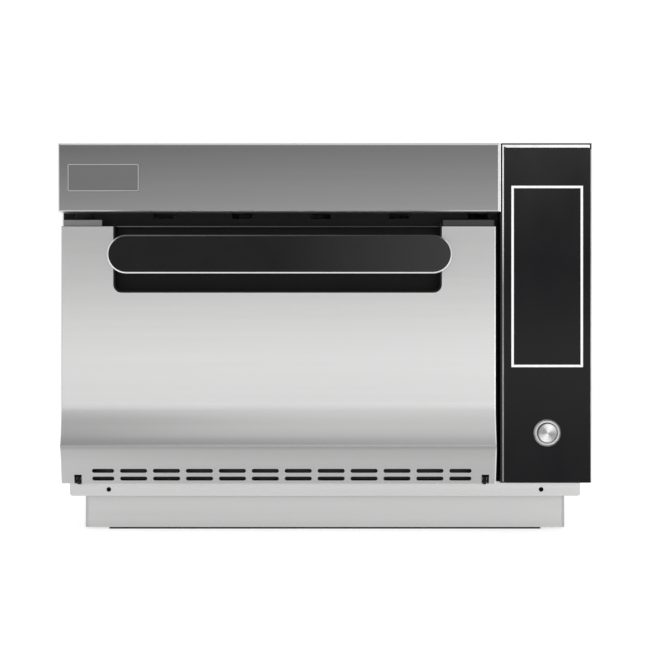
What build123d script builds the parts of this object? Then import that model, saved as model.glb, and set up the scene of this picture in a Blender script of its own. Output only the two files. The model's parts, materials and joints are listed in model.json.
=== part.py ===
from build123d import *
import math
import os

# Countertop speed oven with a drop-down door, a control column at the right and a plinth.
# Millimetres, +Z up, the front faces -Y, and the origin is on the counter under the middle of the oven.

# Overall sizes
overall_width = 650.0
overall_height = 475.0
body_depth = 600.0
handle_reach = 38.0
case_sheet = 1.2
case_bend_radius = 3.0
overrun = 5.0

# Front layout
column_width = 111.0
column_gap = 1.5
fascia_height = 83.6
fascia_fold_radius = 2.4
front_zone_depth = 45.0
door_left_inset = 3.3
door_column_gap = 5.3
door_top_gap = 17.4
door_drop = 1.0

# Base, plinth and feet
base_height = 61.0
rail_height = 18.0
rail_setback = 26.0
rail_side_inset = 11.0
rail_corner_radius = 4.0
rail_hole_diameter = 5.8
rail_hole_side_inset = 48.0
rail_hole_drop = 10.0
wrap_foot_width = 15.0
plinth_side_inset = 27.0
plinth_setback = 52.0
plinth_rear_inset = 40.0
plinth_corner_radius = 5.0
plinth_sheet = 1.5
plinth_foot_flange = 40.0
foot_strip_thickness = 2.2
foot_strip_width = 30.0
foot_strip_side_inset = 30.0
foot_strip_setback = 2.0

# Front frame of the cabinet
frame_sheet = 1.5
air_slot_width = 24.8
air_slot_height = 7.4
air_slot_count = 6
air_slot_first_inset = 27.5
air_slot_last_inset = 23.0
air_slot_drop = 3.0
latch_slot_clearance = 6.0

# Door
door_sheet = 1.5
skin_setback = 3.0
skin_flange_depth = 12.0
skin_fold_radius = 1.2
lip_reach = 15.0
lip_height = 47.0
lip_blend_height = 52.0
lip_crown_radius = 4.0
lip_bottom_flange = 11.6
slot_rows = 2
slot_columns = 12
slot_height = 4.9
slot_gap = 7.1
slot_end_trim = 6.0
slot_row_pitch = 9.6
slot_first_row_rise = 6.2
slot_first_inset = 38.0
slot_last_inset = 30.3
inner_frame_sheet = 1.2
inner_frame_rise = 5.0
inner_frame_top_step = 2.0
inner_frame_tab_rise = 7.5
left_tab_gap = 15.0
right_tab_gap = 2.0
door_face_gap = 2.0
choke_cover_thickness = 3.0
choke_cover_band = 32.0
choke_cover_overlap = 20.0
choke_cover_corner_radius = 14.0
door_pad_thickness = 5.0

# Grip pocket and handle
pocket_left_inset = 63.4
pocket_right_inset = 66.1
pocket_bottom_drop = 81.3
pocket_corner_radius = 10.0
pocket_recess_depth = 24.0
pocket_wall = 2.0
pocket_rise = 3.0
pocket_rim = 6.0
pocket_rim_thickness = 1.2
pocket_fit = 0.4
handle_left_inset = 59.7
handle_right_inset = 56.0
handle_height = 46.3
handle_drop = 35.4
handle_thickness = 11.0
handle_chamfer = 1.6
handle_cover_thickness = 1.4
handle_post_diameter = 16.0
handle_post_inset = 37.0
handle_screw_head_diameter = 11.0
handle_screw_head_height = 4.0

# Hinges
hinge_setback = 16.0
hinge_rise = 6.0
hinge_pin_diameter = 6.0
hinge_pin_fit = 0.05
hinge_eye_radius = 8.0
hinge_arm_thickness = 4.0
hinge_arm_foot_height = 24.0
hinge_arm_foot_width = 18.0
hinge_arm_foot_thickness = 2.5
hinge_side_gap = 1.0
hinge_cheek_thickness = 2.0
hinge_channel_height = 120.0
hinge_channel_depth = 20.0
hinge_channel_flare_rise = 27.0
notch_width = 9.0
notch_height = 11.0
hinge_left_inset = 20.7
hinge_right_inset = 13.3

# Latch hooks and door switches
latch_inset = 42.0
latch_drop = 13.0
latch_width = 5.0
latch_height = 9.0
latch_reach = 20.0
latch_barb = 4.0
latch_plate_width = 18.0
latch_plate_height = 20.0
latch_plate_thickness = 2.0
switch_width = 11.0
switch_height = 17.0
switch_depth = 28.0
switch_gap = 3.0

# Control column
overlay_thickness = 2.0
overlay_left_margin = 4.0
overlay_top_margin = 5.4
overlay_right_margin = 1.6
overlay_corner_radius = 2.5
bezel_plate_thickness = 1.5
bezel_hook_drop = 7.0
housing_sheet = 1.5
display_left_inset = 13.0
display_right_inset = 11.0
display_top_drop = 52.0
display_rise_above_base = 141.0
display_frame_width = 6.0
display_thickness = 9.0
control_board_thickness = 1.6
control_board_margin = 4.0
control_board_gap = 12.0
board_chip_size = 14.0
board_chip_height = 3.0
board_post_diameter = 5.0

# Power button
button_right_inset = 54.3
button_height_above_base = 60.9
bezel_diameter = 33.0
bezel_flange_thickness = 2.4
bezel_barrel_diameter = 27.0
bezel_barrel_length = 20.0
bezel_wall = 1.6
button_cap_diameter = 23.6
button_cap_fit = 0.08
button_cap_proud = 4.2
button_cap_length = 12.0
button_travel = 2.5
button_nut_width = 36.0
button_nut_thickness = 4.0
button_spring_wire = 0.9
button_spring_radius = 6.0
button_spring_turns = 4
switch_body_length = 14.0

# Cooking cavity
cavity_side_margin = 76.0
cavity_bottom_margin = 71.0
cavity_top_margin = 26.0
cavity_corner_radius = 10.0
liner_sheet = 1.2
rear_bay_depth = 128.0
fan_chamber_depth = 66.0
well_depth = 18.0
well_ledge = 22.0
floor_plate_thickness = 6.0
floor_plate_gap = 1.0
jet_plate_drop = 30.0
jet_plate_thickness = 1.5
jet_hole_diameter = 13.0
jet_columns = 5
jet_rows = 4
baffle_sheet = 1.5
baffle_slot_count = 8
baffle_slot_length = 26.0
baffle_slot_width = 7.0
baffle_slot_circle = 30.0
baffle_outlet_count = 5
baffle_outlet_width = 30.0
baffle_outlet_height = 8.0
insulation_thickness = 24.0
insulation_gap = 0.5
rack_rise = 22.0
rack_side_gap = 5.0
rack_end_gap = 12.0
rack_frame_wire = 6.0
rack_cross_wire = 4.0
rack_cross_count = 9
rack_corner_radius = 18.0
rack_rail_width = 10.0
rack_rail_thickness = 1.5
rack_rail_lip = 6.0

# Convection fan and heater
impeller_room_gap = 15.5
impeller_hub_diameter = 34.0
impeller_blade_count = 10
impeller_blade_depth = 26.0
impeller_blade_thickness = 1.6
impeller_inlet_share = 0.564
impeller_plate = 1.6
impeller_blade_lean = 34.0
blade_middle_lean_share = 0.62
impeller_wall_gap = 12.0
shaft_diameter = 10.0
shaft_fit = 0.05
shaft_hole_gap = 3.0
shaft_nose = 8.0
motor_diameter = 88.0
motor_length = 52.0
motor_foot_thickness = 2.0
motor_rear_gap = 14.0
motor_band_count = 4
motor_band_width = 3.0
motor_band_depth = 2.0
heater_tube_diameter = 8.0
heater_ring_gap = 12.0
heater_gap_angle = 30.0
heater_leg_overhang = 34.0
catalyst_margin = 15.0
catalyst_thickness = 12.0
catalyst_cells = 4
catalyst_wall = 3.0

# Stirrer under the floor plate
stirrer_blade_length = 96.0
stirrer_blade_width = 40.0
stirrer_blade_count = 3
stirrer_sheet = 1.5
stirrer_shaft_diameter = 8.0
stirrer_hub_diameter = 20.0
stirrer_hub_height = 6.0
stirrer_motor_diameter = 50.0
stirrer_motor_height = 24.0

# Microwave parts in the side bay
guide_width = 82.0
guide_height = 38.0
guide_sheet = 1.5
guide_spacing = 150.0
guide_port_length = 70.0
guide_port_margin = 27.2
guide_end_gap = 14.0
magnetron_width = 84.0
magnetron_depth = 72.0
magnetron_height = 78.0
magnetron_fin_count = 5
magnetron_fin_gap = 6.0
magnetron_frame_wall = 3.0
magnetron_flange_thickness = 3.0
magnetron_antenna_diameter = 18.0
magnetron_antenna_length = 22.0
magnetron_box_height = 26.0
magnetron_box_width = 56.0
transformer_width = 92.0
transformer_depth = 72.0
transformer_height = 78.0
transformer_spacing = 92.0
transformer_coil_width = 58.0
transformer_coil_bulge = 12.0
transformer_coil_height = 20.0
transformer_foot_thickness = 2.0
transformer_rear_gap = 12.0
capacitor_width = 54.0
capacitor_depth = 34.0
capacitor_height = 92.0
capacitor_spacing = 62.0
capacitor_terminal_diameter = 6.0
capacitor_terminal_height = 8.0

# Cooling fan
cooler_size = 120.0
cooler_depth = 38.0
cooler_bore_diameter = 112.0
cooler_corner_radius = 5.0
cooler_hub_diameter = 42.0
cooler_blade_count = 7
cooler_blade_twist = 38.0
cooler_blade_thickness = 2.0
cooler_tip_gap = 1.5
cooler_strut_width = 6.0
cooler_strut_depth = 5.0
cooler_shaft_diameter = 6.0
cooler_shelf_gap = 7.7

# Electrical parts
shelf_sheet = 1.2
shelf_side_gap = 1.0
board_width = 190.0
board_depth = 120.0
board_thickness = 1.6
board_rise = 10.0
relay_width = 30.0
relay_depth = 20.0
relay_height = 22.0
relay_count = 4
filter_width = 36.0
filter_length = 86.0
filter_height = 48.0
filter_rear_gap = 70.0
filter_flange = 8.0
filter_flange_thickness = 1.5
terminal_width = 40.0
terminal_height = 24.0
terminal_depth = 18.0
terminal_ways = 3
terminal_slot = 5.0
terminal_rise = 110.0
gland_diameter = 26.0
gland_length = 16.0
gland_bore_diameter = 13.0
gland_side_inset = 36.0
gland_rise = 24.0

# Rear panel
rear_slot_length = 70.0
rear_slot_height = 5.0
rear_slot_pitch = 12.0
rear_slot_rows = 3
rear_slot_columns = 3
rear_slot_column_pitch = 88.0
rear_slot_top_drop = 18.0
fan_slot_pitch = 11.0
fan_slot_height = 5.0
screw_diameter = 4.0
screw_head_diameter = 8.0
screw_head_height = 2.0
screw_length = 6.0
screw_edge = 9.0
rear_screw_side_count = 3

# Places derived from the sizes above
half_width = overall_width / 2
front_y = -(body_depth + handle_reach + screw_head_height) / 2 + handle_reach
rear_y = front_y + body_depth
frame_front_y = front_y + front_zone_depth
frame_back_y = frame_front_y + frame_sheet
column_left_x = half_width - column_width
fascia_right_x = column_left_x - column_gap
fascia_bottom_z = overall_height - fascia_height
door_left_x = -half_width + door_left_inset
door_right_x = column_left_x - door_column_gap
door_centre_x = (door_left_x + door_right_x) / 2
door_bottom_z = base_height - door_drop
door_top_z = fascia_bottom_z - door_top_gap
skin_y = front_y + skin_setback
skin_inner_y = skin_y + door_sheet
cover_back_y = frame_front_y - door_face_gap
door_back_y = cover_back_y - choke_cover_thickness
hinge_y = front_y + hinge_setback
hinge_z = door_bottom_z + hinge_rise
cavity_left_x = door_left_x + cavity_side_margin
cavity_right_x = door_right_x - cavity_side_margin
cavity_bottom_z = door_bottom_z + cavity_bottom_margin
cavity_top_z = door_top_z - cavity_top_margin
cavity_centre_x = (cavity_left_x + cavity_right_x) / 2
cavity_centre_z = (cavity_bottom_z + cavity_top_z) / 2
cavity_width = cavity_right_x - cavity_left_x
cavity_height = cavity_top_z - cavity_bottom_z
liner_back_y = rear_y - rear_bay_depth
baffle_y = liner_back_y - fan_chamber_depth
plate_top_z = cavity_bottom_z
plate_bottom_z = plate_top_z - floor_plate_thickness
well_bottom_z = plate_bottom_z - well_depth
jet_plate_z = cavity_top_z - jet_plate_drop
fan_centre_z = (plate_top_z + jet_plate_z) / 2
impeller_diameter = jet_plate_z - plate_top_z - impeller_room_gap - impeller_room_gap
impeller_inlet_diameter = impeller_diameter * impeller_inlet_share
catalyst_size = baffle_slot_circle + (baffle_slot_length + catalyst_margin) * 2
guide_port_x = cavity_right_x - well_ledge - guide_port_margin - guide_port_length
inner_top_z = overall_height - case_sheet
inner_half_width = half_width - case_sheet
floor_z = base_height
wrap_foot_top_z = floor_z + case_sheet
bay_left_x = cavity_right_x + liner_sheet + insulation_thickness
bay_centre_x = (bay_left_x + inner_half_width) / 2
cavity_middle_y = (frame_back_y + baffle_y) / 2
button_x = half_width - button_right_inset
button_z = base_height + button_height_above_base
overlay_y = front_y
bezel_plate_y = overlay_y + overlay_thickness
housing_y = bezel_plate_y
shelf_z = cavity_top_z + liner_sheet + insulation_thickness + insulation_gap
cooler_z = shelf_z - cooler_shelf_gap - cooler_size / 2


def block(x_low, x_high, y_low, y_high, z_low, z_high):
    """Rectangular solid between two corners."""
    centre = Pos((x_low + x_high) / 2, (y_low + y_high) / 2, (z_low + z_high) / 2)
    return centre * Box(x_high - x_low, y_high - y_low, z_high - z_low)


def front_plane(y):
    """Plane seen from the front: its first axis is X, its second is Z, and it faces -Y."""
    return Plane(origin=(0, y, 0), x_dir=(1, 0, 0), z_dir=(0, -1, 0))


def side_plane(x):
    """Plane seen from the right: its first axis is Y, its second is Z, and it faces +X."""
    return Plane(origin=(x, 0, 0), x_dir=(0, 1, 0), z_dir=(1, 0, 0))


def along_y(sketch, y_low, y_high):
    """Sketch in X and Z, extruded between two depths."""
    return extrude(front_plane(y_high) * sketch, y_high - y_low)


def along_x(sketch, x_low, x_high):
    """Sketch in Y and Z, extruded between two places across the oven."""
    return extrude(side_plane(x_low) * sketch, x_high - x_low)


def along_z(sketch, z_low, z_high):
    """Sketch in X and Y, extruded between two heights."""
    return extrude(Plane.XY.offset(z_low) * sketch, z_high - z_low)


def rod_y(x, z, radius, y_low, y_high):
    """Round bar along the depth."""
    return along_y(Pos(x, z) * Circle(radius), y_low, y_high)


def rod_x(y, z, radius, x_low, x_high):
    """Round bar across the oven."""
    return along_x(Pos(y, z) * Circle(radius), x_low, x_high)


def rod_z(x, y, radius, z_low, z_high):
    """Upright round bar."""
    return along_z(Pos(x, y) * Circle(radius), z_low, z_high)


def rounded(x_low, x_high, z_low, z_high, radius):
    """Rectangle with round corners, given by its edges."""
    centre = Pos((x_low + x_high) / 2, (z_low + z_high) / 2)
    return centre * RectangleRounded(x_high - x_low, z_high - z_low, radius)


def turned_y(x, z, points):
    """Body of revolution about an axis along the depth, from (radius, y) points."""
    face = make_face(Polyline(*points, close=True))
    return revolve(Pos(x, 0, z) * face, Axis((x, 0, z), (0, 1, 0)))


def cabinet_section(inset):
    """Section of the cabinet with its two top corners rounded by the bend."""
    low_z = floor_z + inset
    high_z = overall_height - inset
    half = half_width - inset
    sketch = Pos(0, (low_z + high_z) / 2) * Rectangle(half + half, high_z - low_z)
    return fillet(sketch.vertices().group_by(Axis.Y)[-1], case_bend_radius - inset / 2)


def cabinet_wrap():
    """One sheet folded over the top and down both sides, with flanges at its feet and its rear."""
    shell = along_y(cabinet_section(0), frame_front_y, rear_y)
    hollow = along_y(cabinet_section(case_sheet), frame_front_y - overrun, rear_y + overrun)
    foot_inner_x = inner_half_width - wrap_foot_width
    foot_gap = block(-foot_inner_x, foot_inner_x, frame_front_y - overrun, rear_y + overrun,
                     floor_z - overrun, wrap_foot_top_z + overrun)
    wrap = shell - hollow - foot_gap
    seat_y = rear_y - case_sheet
    for side in (-1, 1):
        edges = sorted((side * inner_half_width, side * (inner_half_width - screw_edge - screw_edge)))
        wrap = wrap + block(edges[0], edges[1], seat_y - case_sheet, seat_y, wrap_foot_top_z,
                            inner_top_z - case_bend_radius)
    for x, z in rear_screw_places():
        wrap = wrap - rod_y(x, z, screw_diameter / 2, seat_y - case_sheet - overrun, seat_y)
    return wrap


def fan_grille():
    """Cutter for the cooling fan's outlet: level slots that fill a circle."""
    radius = cooler_bore_diameter / 2
    cutters = []
    rows = int(radius // fan_slot_pitch)
    for row in range(-rows, rows + 1):
        rise = row * fan_slot_pitch
        half_chord = math.sqrt(radius ** 2 - rise ** 2)
        cutters.append(block(bay_centre_x - half_chord, bay_centre_x + half_chord,
                             rear_y - case_sheet - overrun, rear_y + overrun,
                             cooler_z + rise - fan_slot_height / 2, cooler_z + rise + fan_slot_height / 2))
    return cutters


def rear_slot_cutters():
    """Cutters for the field of level air slots above the cavity."""
    cutters = []
    for column in range(rear_slot_columns):
        x = cavity_centre_x + (column - (rear_slot_columns - 1) / 2) * rear_slot_column_pitch
        for row in range(rear_slot_rows):
            z = inner_top_z - rear_slot_top_drop - row * rear_slot_pitch
            cutters.append(block(x - rear_slot_length / 2, x + rear_slot_length / 2,
                                 rear_y - case_sheet - overrun, rear_y + overrun,
                                 z - rear_slot_height / 2, z + rear_slot_height / 2))
    return cutters


def gland_place():
    """X and Z of the cable gland in the rear panel."""
    return -inner_half_width + gland_side_inset, floor_z + gland_rise


def rear_panel():
    """Flat rear panel inside the wrap, with two fields of air slots and the gland's hole."""
    x, z = gland_place()
    panel = block(-inner_half_width, inner_half_width, rear_y - case_sheet, rear_y,
                  wrap_foot_top_z, inner_top_z)
    corners = panel.edges().filter_by(Axis.Y).group_by(Axis.Z)[-1]
    panel = fillet(corners, case_bend_radius)
    gland_hole = rod_y(x, z, gland_diameter / 2 - pocket_fit, rear_y - case_sheet - overrun, rear_y + overrun)
    for cutter in fan_grille() + rear_slot_cutters() + [gland_hole]:
        panel = panel - cutter
    for x_screw, z_screw in rear_screw_places():
        panel = panel - rod_y(x_screw, z_screw, screw_diameter / 2, rear_y - case_sheet - overrun,
                              rear_y + overrun)
    return panel


def rear_screw_places():
    """Places of the rear panel's screws: a column at each side."""
    x = inner_half_width - screw_edge
    low_z = wrap_foot_top_z + screw_edge
    step = (inner_top_z - screw_edge - low_z) / (rear_screw_side_count - 1)
    return [(side * x, low_z + index * step) for side in (-1, 1) for index in range(rear_screw_side_count)]


def screw_towards_rear(x, z, seat_y):
    """Pan-head screw whose head stands on the rear of its seat."""
    shank = rod_y(x, z, screw_diameter / 2, seat_y - screw_length, seat_y)
    head = rod_y(x, z, screw_head_diameter / 2, seat_y, seat_y + screw_head_height)
    head = chamfer(head.edges().group_by(Axis.Y)[-1], screw_head_height / 2)
    return shank + head


def rear_panel_screws():
    """Screws that hold the rear panel."""
    return Compound(children=[screw_towards_rear(x, z, rear_y) for x, z in rear_screw_places()])


def front_rounded(x_low, x_high, y_low, y_high, z_low, z_high, radius):
    """Rectangular solid whose four front edges are rounded."""
    solid = block(x_low, x_high, y_low, y_high, z_low, z_high)
    return fillet(solid.faces().sort_by(Axis.Y)[0].edges(), radius)


def top_fascia():
    """Fixed stainless panel above the door, folded back on all four edges and open behind."""
    sheet = case_sheet
    outer = front_rounded(-half_width, fascia_right_x, front_y, frame_front_y, fascia_bottom_z,
                          overall_height, fascia_fold_radius)
    inner = front_rounded(-half_width + sheet, fascia_right_x - sheet, front_y + sheet,
                          frame_front_y + overrun, fascia_bottom_z + sheet, overall_height - sheet,
                          fascia_fold_radius - sheet)
    return outer - inner


def control_housing():
    """Folded box of the control column, open at the front and the back."""
    outer = block(column_left_x, half_width, housing_y, frame_front_y, floor_z, overall_height)
    inner = block(column_left_x + housing_sheet, half_width - housing_sheet, housing_y - overrun,
                  frame_front_y + overrun, floor_z + housing_sheet, overall_height - housing_sheet)
    bezel_seat = block(half_width - housing_sheet, half_width + overrun, housing_y - overrun,
                       bezel_plate_y + bezel_plate_thickness, floor_z - overrun,
                       overall_height - bezel_hook_drop)
    return outer - inner - bezel_seat


def display_edges():
    """Left, right, bottom and top of the display window in the column."""
    return (column_left_x + display_left_inset, half_width - display_right_inset,
            base_height + display_rise_above_base, overall_height - display_top_drop)


def control_bezel():
    """Bright plate that closes the column's front and carries the overlay."""
    left, right, bottom, top = display_edges()
    plate = block(column_left_x + housing_sheet, half_width - housing_sheet, bezel_plate_y,
                  bezel_plate_y + bezel_plate_thickness, floor_z + housing_sheet,
                  overall_height - housing_sheet)
    plate = plate + block(half_width - housing_sheet, half_width, bezel_plate_y,
                          bezel_plate_y + bezel_plate_thickness, floor_z + housing_sheet,
                          overall_height - bezel_hook_drop)
    window = block(left + display_frame_width, right - display_frame_width, bezel_plate_y - overrun,
                   bezel_plate_y + bezel_plate_thickness + overrun,
                   bottom + display_frame_width, top - display_frame_width)
    hole = rod_y(button_x, button_z, bezel_barrel_diameter / 2, bezel_plate_y - overrun,
                 bezel_plate_y + bezel_plate_thickness + overrun)
    return plate - window - hole


def control_overlay():
    """Black glass over the column, with the button's hole."""
    outline = rounded(column_left_x + overlay_left_margin, half_width - overlay_right_margin,
                      floor_z, overall_height - overlay_top_margin, overlay_corner_radius)
    plate = along_y(outline, overlay_y, overlay_y + overlay_thickness)
    return plate - rod_y(button_x, button_z, bezel_barrel_diameter / 2, overlay_y - overrun,
                         overlay_y + overlay_thickness + overrun)


def display_module():
    """Display and touch panel behind the window, with its stepped frame."""
    left, right, bottom, top = display_edges()
    back_y = bezel_plate_y + bezel_plate_thickness
    body = block(left, right, back_y, back_y + display_thickness, bottom, top)
    raised = block(left + display_frame_width + pocket_fit, right - display_frame_width - pocket_fit,
                   bezel_plate_y, back_y, bottom + display_frame_width + pocket_fit,
                   top - display_frame_width - pocket_fit)
    return body + raised


def control_board():
    """Control board on four posts behind the display, with its chips."""
    left, right, bottom, top = display_edges()
    module_back_y = bezel_plate_y + bezel_plate_thickness + display_thickness
    board_y = module_back_y + control_board_gap
    margin = control_board_margin
    board = block(left + margin, right - margin, board_y, board_y + control_board_thickness,
                  bottom + margin, top - margin)
    for x in (left + margin + board_post_diameter, right - margin - board_post_diameter):
        for z in (bottom + margin + board_post_diameter, top - margin - board_post_diameter):
            board = board + rod_y(x, z, board_post_diameter / 2, module_back_y, board_y)
    chip_z = (bottom + top) / 2
    for step in (-1, 0, 1):
        z = chip_z + step * (board_chip_size + board_chip_size)
        x = (left + right) / 2
        board = board + block(x - board_chip_size / 2, x + board_chip_size / 2,
                              board_y + control_board_thickness,
                              board_y + control_board_thickness + board_chip_height,
                              z - board_chip_size / 2, z + board_chip_size / 2)
    return board


def button_bezel():
    """Turned ring of the power button: a rounded flange on the glass and a barrel behind it."""
    bore = button_cap_diameter / 2 + button_cap_fit
    flange = bezel_diameter / 2
    barrel = bezel_barrel_diameter / 2 - pocket_fit
    face_y = front_y - bezel_flange_thickness
    end_y = front_y + bezel_barrel_length
    points = [
        (bore, face_y + bezel_wall / 2),
        (bore + bezel_wall / 2, face_y),
        (flange - bezel_wall, face_y),
        (flange, face_y + bezel_wall),
        (flange, front_y),
        (barrel, front_y),
        (barrel, end_y),
        (bore, end_y),
    ]
    return turned_y(button_x, button_z, points)


def button_nut():
    """Hexagonal nut that clamps the bezel's barrel behind the bright plate."""
    low_y = bezel_plate_y + bezel_plate_thickness
    hexagon = Pos(button_x, button_z) * RegularPolygon(button_nut_width / 2, 6, major_radius=False)
    nut = along_y(hexagon, low_y, low_y + button_nut_thickness)
    return nut - rod_y(button_x, button_z, bezel_barrel_diameter / 2 - pocket_fit, low_y - overrun,
                       low_y + button_nut_thickness + overrun)


def button_cap():
    """Moving cap of the power button, with a chamfered face and a hollow back for the spring."""
    radius = button_cap_diameter / 2
    face_y = front_y - bezel_flange_thickness - button_cap_proud
    back_y = face_y + button_cap_length
    hollow = button_spring_radius + button_spring_wire
    points = [
        (0, face_y),
        (radius - bezel_wall / 2, face_y),
        (radius, face_y + bezel_wall / 2),
        (radius, back_y),
        (hollow, back_y),
        (hollow, face_y + button_cap_proud),
        (0, face_y + button_cap_proud),
    ]
    return turned_y(button_x, button_z, points)


def spring_between(x, z, y_low, y_high, radius, wire, turns):
    """Compression spring along the depth: one wire on a helix, its section a hexagon."""
    height = y_high - y_low - wire
    path = Helix(pitch=height / turns, height=height, radius=radius, center=(x, y_low + wire / 2, z),
                 direction=(0, 1, 0))
    start = Plane(origin=path @ 0, z_dir=path % 0)
    return sweep(start * RegularPolygon(wire / 2, 6), path=path, is_frenet=True)


def button_spring():
    """Return spring between the cap's hollow and the switch body."""
    low_y = front_y - bezel_flange_thickness + pocket_fit
    high_y = front_y + bezel_barrel_length - switch_body_length / 2
    return spring_between(button_x, button_z, low_y, high_y, button_spring_radius,
                          button_spring_wire, button_spring_turns)


def button_switch():
    """Switch block that closes the barrel's rear end, with two tabs."""
    bore = button_cap_diameter / 2 + button_cap_fit
    low_y = front_y + bezel_barrel_length - switch_body_length / 2
    end_y = front_y + bezel_barrel_length
    body = rod_y(button_x, button_z, bore, low_y, end_y)
    rear = rod_y(button_x, button_z, bezel_barrel_diameter / 2 - pocket_fit, end_y,
                 end_y + switch_body_length / 2)
    return body + rear


def base_pan():
    """Floor of the cabinet with its four flanges turned down; the front one is the bright rail."""
    half = half_width - rail_side_inset
    front = front_y + rail_setback
    low_z = base_height - rail_height
    rear = rear_y - case_sheet
    relief_y = front + case_sheet + rail_corner_radius
    pan = block(-half, half, front, rear, base_height - case_sheet, base_height)
    skirt = block(-half, half, relief_y, rear, low_z, base_height)
    skirt = skirt - block(-half + case_sheet, half - case_sheet, relief_y - overrun, rear - case_sheet,
                          low_z - overrun, base_height + overrun)
    rail = Pos(0, (low_z + base_height) / 2) * Rectangle(half + half, rail_height)
    rail = fillet(rail.vertices().group_by(Axis.Y)[0], rail_corner_radius)
    pan = pan + skirt + along_y(rail, front, front + case_sheet)
    hole_z = base_height - rail_hole_drop
    hole_x = half - rail_hole_side_inset
    for side in (-1, 1):
        pan = pan - rod_y(side * hole_x, hole_z, rail_hole_diameter / 2, front - overrun,
                          front + case_sheet + overrun)
    return pan


def plinth_edges():
    """Half width, front and rear of the plinth."""
    return half_width - plinth_side_inset, front_y + plinth_setback, rear_y - plinth_rear_inset


def plinth():
    """Open frame of bent sheet under the base pan, with a foot flange turned in all round."""
    half, front, rear = plinth_edges()
    low_z = foot_strip_thickness
    high_z = base_height - case_sheet
    centre = Pos(0, (front + rear) / 2)
    outline = centre * RectangleRounded(half + half, rear - front, plinth_corner_radius)
    inside = centre * RectangleRounded(half + half - plinth_sheet - plinth_sheet,
                                       rear - front - plinth_sheet - plinth_sheet,
                                       plinth_corner_radius - plinth_sheet)
    window = centre * Rectangle(half + half - plinth_foot_flange - plinth_foot_flange,
                                rear - front - plinth_foot_flange - plinth_foot_flange)
    frame = along_z(outline, low_z, high_z) - along_z(inside, low_z + plinth_sheet, high_z + overrun)
    return frame - along_z(window, low_z - overrun, high_z)


def foot_strips():
    """Two rubber strips under the plinth's flange, at the front and at the rear."""
    half, front_edge, rear_edge = plinth_edges()
    strips = []
    for low_y in (front_edge + foot_strip_setback, rear_edge - foot_strip_setback - foot_strip_width):
        strips.append(block(-half + foot_strip_side_inset, half - foot_strip_side_inset, low_y,
                            low_y + foot_strip_width, 0, foot_strip_thickness))
    return Compound(children=strips)


def latch_places():
    """X of the two latch hooks."""
    return door_left_x + latch_inset, door_right_x - latch_inset


def front_frame():
    """Front plate of the cabinet round the cavity's mouth, with air slots and latch slots."""
    plate = block(-inner_half_width, inner_half_width, frame_front_y, frame_back_y,
                  wrap_foot_top_z, inner_top_z - case_bend_radius)
    mouth = rounded(cavity_left_x, cavity_right_x, well_bottom_z + liner_sheet, cavity_top_z,
                    cavity_corner_radius)
    plate = plate - along_y(mouth, frame_front_y - overrun, frame_back_y + overrun)
    sill = block(cavity_left_x, cavity_right_x, frame_front_y, frame_back_y,
                 well_bottom_z + liner_sheet, plate_top_z)
    plate = plate + sill
    slot_z = fascia_bottom_z - air_slot_drop
    first_x = -half_width + air_slot_first_inset
    pitch = (fascia_right_x - air_slot_last_inset - first_x) / (air_slot_count - 1)
    for index in range(air_slot_count):
        x = first_x + index * pitch
        plate = plate - block(x - air_slot_width / 2, x + air_slot_width / 2, frame_front_y - overrun,
                              frame_back_y + overrun, slot_z - air_slot_height / 2,
                              slot_z + air_slot_height / 2)
    latch_z = door_top_z - latch_drop
    for x in latch_places():
        half = latch_width / 2 + latch_slot_clearance / 2
        plate = plate - block(x - half, x + half, frame_front_y - overrun, frame_back_y + overrun,
                              latch_z - latch_height / 2 - latch_barb - latch_slot_clearance,
                              latch_z + latch_height / 2 + latch_slot_clearance)
    return plate


def lip_outline(y_face):
    """Edge of the door seen from its end: the lip's slanted face, a crown, a long hollow and the flat."""
    crown_z = door_bottom_z + lip_height
    flat_z = crown_z + lip_blend_height
    bottom = (y_face, door_bottom_z)
    crown = (y_face - lip_reach, crown_z)
    flat = (y_face, flat_z)
    slant = Line(bottom, crown)
    hollow = TangentArc(flat, crown, tangent=(0, -1))
    upright = Line(flat, (y_face, door_top_z))
    return slant + hollow + upright


def skin_profile(y_face, y_back):
    """Closed section of the door's outer shell, from its face to a flat back, its crown rounded."""
    back = Polyline((y_face, door_top_z), (y_back, door_top_z), (y_back, door_bottom_z),
                    (y_face, door_bottom_z))
    section = make_face(lip_outline(y_face) + back)
    crown = section.vertices().sort_by(Axis.X)[0]
    return fillet(crown, lip_crown_radius)


def pocket_edges():
    """Left, right and bottom of the cut-out for the grip pocket."""
    return (door_left_x + pocket_left_inset, door_right_x - pocket_right_inset,
            door_top_z - pocket_bottom_drop)


def hinge_places():
    """X of the middle of the two hinge arms."""
    return door_left_x + hinge_left_inset, door_right_x - hinge_right_inset


def channel_reach():
    """Half width that a hinge channel needs in the sheets round it."""
    return hinge_arm_thickness / 2 + hinge_side_gap + hinge_cheek_thickness + pocket_fit


def lip_slot_cutters():
    """Cutters for the lip's two rows of round-ended air slots; the end slots are shorter."""
    cutters = []
    low_x = door_left_x + slot_first_inset - slot_end_trim
    high_x = door_right_x - slot_last_inset + slot_end_trim
    pitch = (high_x - low_x + slot_gap) / slot_columns
    for row in range(slot_rows):
        z = door_bottom_z + slot_first_row_rise + row * slot_row_pitch
        for column in range(slot_columns):
            left = low_x + column * pitch
            right = left + pitch - slot_gap
            if column == 0:
                left = left + slot_end_trim
            if column == slot_columns - 1:
                right = right - slot_end_trim
            slot = Pos((left + right) / 2, z) * SlotOverall(right - left, slot_height)
            cutters.append(along_y(slot, skin_y - lip_reach - overrun, skin_y + lip_bottom_flange))
    return cutters


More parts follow.
